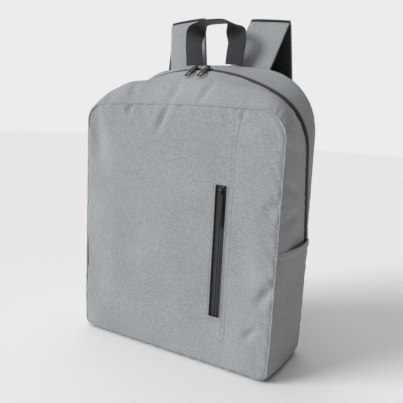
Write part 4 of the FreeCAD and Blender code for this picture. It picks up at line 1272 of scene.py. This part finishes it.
def make_lower_webbing():
    for name, side in SIDES:
        low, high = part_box(f"ladder_lock_{name}")
        x, y = (low.x + high.x) / 2, (low.y + high.y) / 2
        middle = (low.z + high.z) / 2
        loops = [rounded(high.x - low.x, high.z - low.z, 4 * MM)]
        for slot_z in (4.75 * MM, -5.75 * MM):
            loops.append(rounded(27 * MM, 6.3 * MM, 1.2 * MM, (0, slot_z))[::-1])
        matrix = basis(Vector((x, y, middle)), RIGHT, UP, FORWARD)
        lock = joined(f"ladder_lock_{name}_moulding", [(plate_mesh(loops, 4 * MM, 1.0 * MM), matrix)],
                      black_plastic)
        settle(lock, f"ladder_lock_{name}", f"ladder_lock_{name}")

        radius = 3.4 * MM
        bar_z = high.z - 2 * MM
        loop_line = [Vector((x, y - radius, 0.156)), Vector((x, y - radius, bar_z + 3 * MM))]
        loop_line += [Vector((x, y - radius * cos(a), bar_z - radius * sin(a)))
                      for a in [pi * s / 12 for s in range(13)]]
        loop_line += [Vector((x, y + radius, bar_z + 3 * MM)), Vector((x, y + radius, 0.156))]
        loop = level_webbing(f"strap_loop_{name}_webbing", loop_line)
        settle(loop, f"shoulder_strap_{name}", f"strap_loop_{name}")

        tail_low, tail_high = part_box(f"webbing_tail_{name}")
        tail_y = (tail_low.y + tail_high.y) / 2
        tail_line = smooth_line([Vector((x, tail_y, tail_high.z)), Vector((x, tail_y + 1 * MM, 0.080)),
                                 Vector((x, tail_y - 1 * MM, 0.045)), Vector((x, tail_y, tail_low.z))], 50)
        tail = level_webbing(f"webbing_tail_{name}_webbing", tail_line)
        settle(tail, f"ladder_lock_{name}", f"webbing_tail_{name}")

        lower_line = smooth_line([Vector((x * side, y, z)) for x, y, z in LOWER_ROUTE], 50)
        lower = level_webbing(f"strap_webbing_{name}_webbing", lower_line)
        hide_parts(f"strap_webbing_{name}")
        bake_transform(lower)

        tab_low, tab_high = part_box(f"lower_tab_{name}")
        corners = [(0.151, 0.020), (0.151, 0.058), (0.121, 0.049), (0.121, 0.038)]
        outline = [(px * side, pz - TAB_Z) for px, pz in corners]
        lean = Matrix.Rotation(radians(BACK_LEAN), 4, "X")
        face = basis(Vector((0, (tab_low.y + tab_high.y) / 2, TAB_Z)), RIGHT, UP, FORWARD)
        tab = joined(f"lower_tab_{name}_cloth",
                     [(plate_mesh([outline], 2.4 * MM, 0.8 * MM), lean @ face)], grey)
        settle(tab, "root", f"lower_tab_{name}")

    yoke_low, yoke_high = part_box("strap_yoke")
    y = (yoke_low.y + yoke_high.y) / 2
    line = [Vector((yoke_low.x + (yoke_high.x - yoke_low.x) * s / 60, y,
                    (yoke_low.z + yoke_high.z) / 2)) for s in range(61)]
    yoke = ribbon("strap_yoke_cloth", line, lambda share: UP, 8.5 * MM, 8.4 * MM, grey)
    settle(yoke, "root", "strap_yoke")


# ------------------------------------------------------------------ stage, light and camera
def make_stage():
    mesh = bpy.data.meshes.new("floor")
    reach = 6.0
    corners = [(x * reach, y * reach, 0) for x, y in ((-1, -1), (1, -1), (1, 1), (-1, 1))]
    mesh.from_pydata(corners, [], [(0, 1, 2, 3)])
    floor = bpy.data.objects.new("floor", mesh)
    show(floor)
    material = bpy.data.materials.new("pale_floor")
    material.use_nodes = True
    shader = material.node_tree.nodes["Principled BSDF"]
    shader.inputs["Base Color"].default_value = (0.93, 0.93, 0.93, 1)
    shader.inputs["Roughness"].default_value = 0.9
    mesh.materials.append(material)


def add_sun(name, towards, spread, strength):
    """An even light from a direction, with soft shadows."""
    data = bpy.data.lights.new(name, "SUN")
    data.angle = radians(spread)
    data.energy = strength
    light = bpy.data.objects.new(name, data)
    show(light)
    light.rotation_euler = Vector(towards).to_track_quat("Z", "Y").to_euler()


BACKDROP_TOWARDS = (-0.49, 0.87, 0.0)
BACKDROP_PLACES, BACKDROP_LEVELS = (0.74, 0.90), (0.15, 0.84)


def make_lights():
    """A large soft key from the front left, a top light, and a backdrop that is pale on one side."""
    add_sun("key", (-0.64, -0.68, 0.46), 30, 2.6)
    add_sun("top", (-0.15, 0.10, 1.0), 60, 1.0)
    world = bpy.data.worlds.new("studio")
    world.use_nodes = True
    bpy.context.scene.world = world
    tree = world.node_tree
    background = tree.nodes["Background"]
    coords = tree.nodes.new("ShaderNodeTexCoord")
    toward = tree.nodes.new("ShaderNodeVectorMath")
    toward.operation = "DOT_PRODUCT"
    toward.inputs[1].default_value = BACKDROP_TOWARDS
    tree.links.new(coords.outputs["Generated"], toward.inputs[0])
    ramp = tree.nodes.new("ShaderNodeValToRGB")
    for element, place, level in zip(ramp.color_ramp.elements, BACKDROP_PLACES, BACKDROP_LEVELS):
        element.position = place
        element.color = (level, level, level, 1.0)
    tree.links.new(toward.outputs["Value"], ramp.inputs["Fac"])
    tree.links.new(ramp.outputs["Color"], background.inputs["Color"])
    background.inputs["Strength"].default_value = 1.0


CAMERA_AZIMUTH, CAMERA_ELEVATION, CAMERA_ROLL = 29.39, 9.556, 2.98
CAMERA_DISTANCE, CAMERA_LENS = 0.6683, 42.46
CAMERA_TARGET = Vector((0.01341, 0, 0.20835))


def make_camera():
    a, e, r = (radians(v) for v in (CAMERA_AZIMUTH, CAMERA_ELEVATION, CAMERA_ROLL))
    back = Vector((sin(a) * cos(e), -cos(a) * cos(e), sin(e)))
    right = Vector((cos(a), sin(a), 0))
    up = back.cross(right)
    rolled_right = right * cos(r) + up * sin(r)
    rolled_up = up * cos(r) - right * sin(r)
    data = bpy.data.cameras.new("camera")
    data.lens = CAMERA_LENS
    data.sensor_width = 36.0
    data.clip_start = 0.01
    camera = bpy.data.objects.new("camera", data)
    show(camera)
    camera.matrix_world = basis(CAMERA_TARGET + back * CAMERA_DISTANCE, rolled_right, rolled_up, back)
    bpy.context.scene.camera = camera


for make in (front_panel_cloth, make_seam_ridge, make_gussets, make_main_zip, make_pocket_zip,
             make_front_stitching, make_sliders, make_sides, make_bottom, make_back, make_inside,
             make_handle, make_straps, make_lower_webbing, make_stage, make_lights, make_camera):
    make()
for node, material in (("zip_end_stops", binding), ("pocket_zip_stops", black_metal)):
    stop = frame["nodes"][node].data
    stop.materials.clear()
    stop.materials.append(material)
bpy.context.scene.view_settings.view_transform = "Standard"
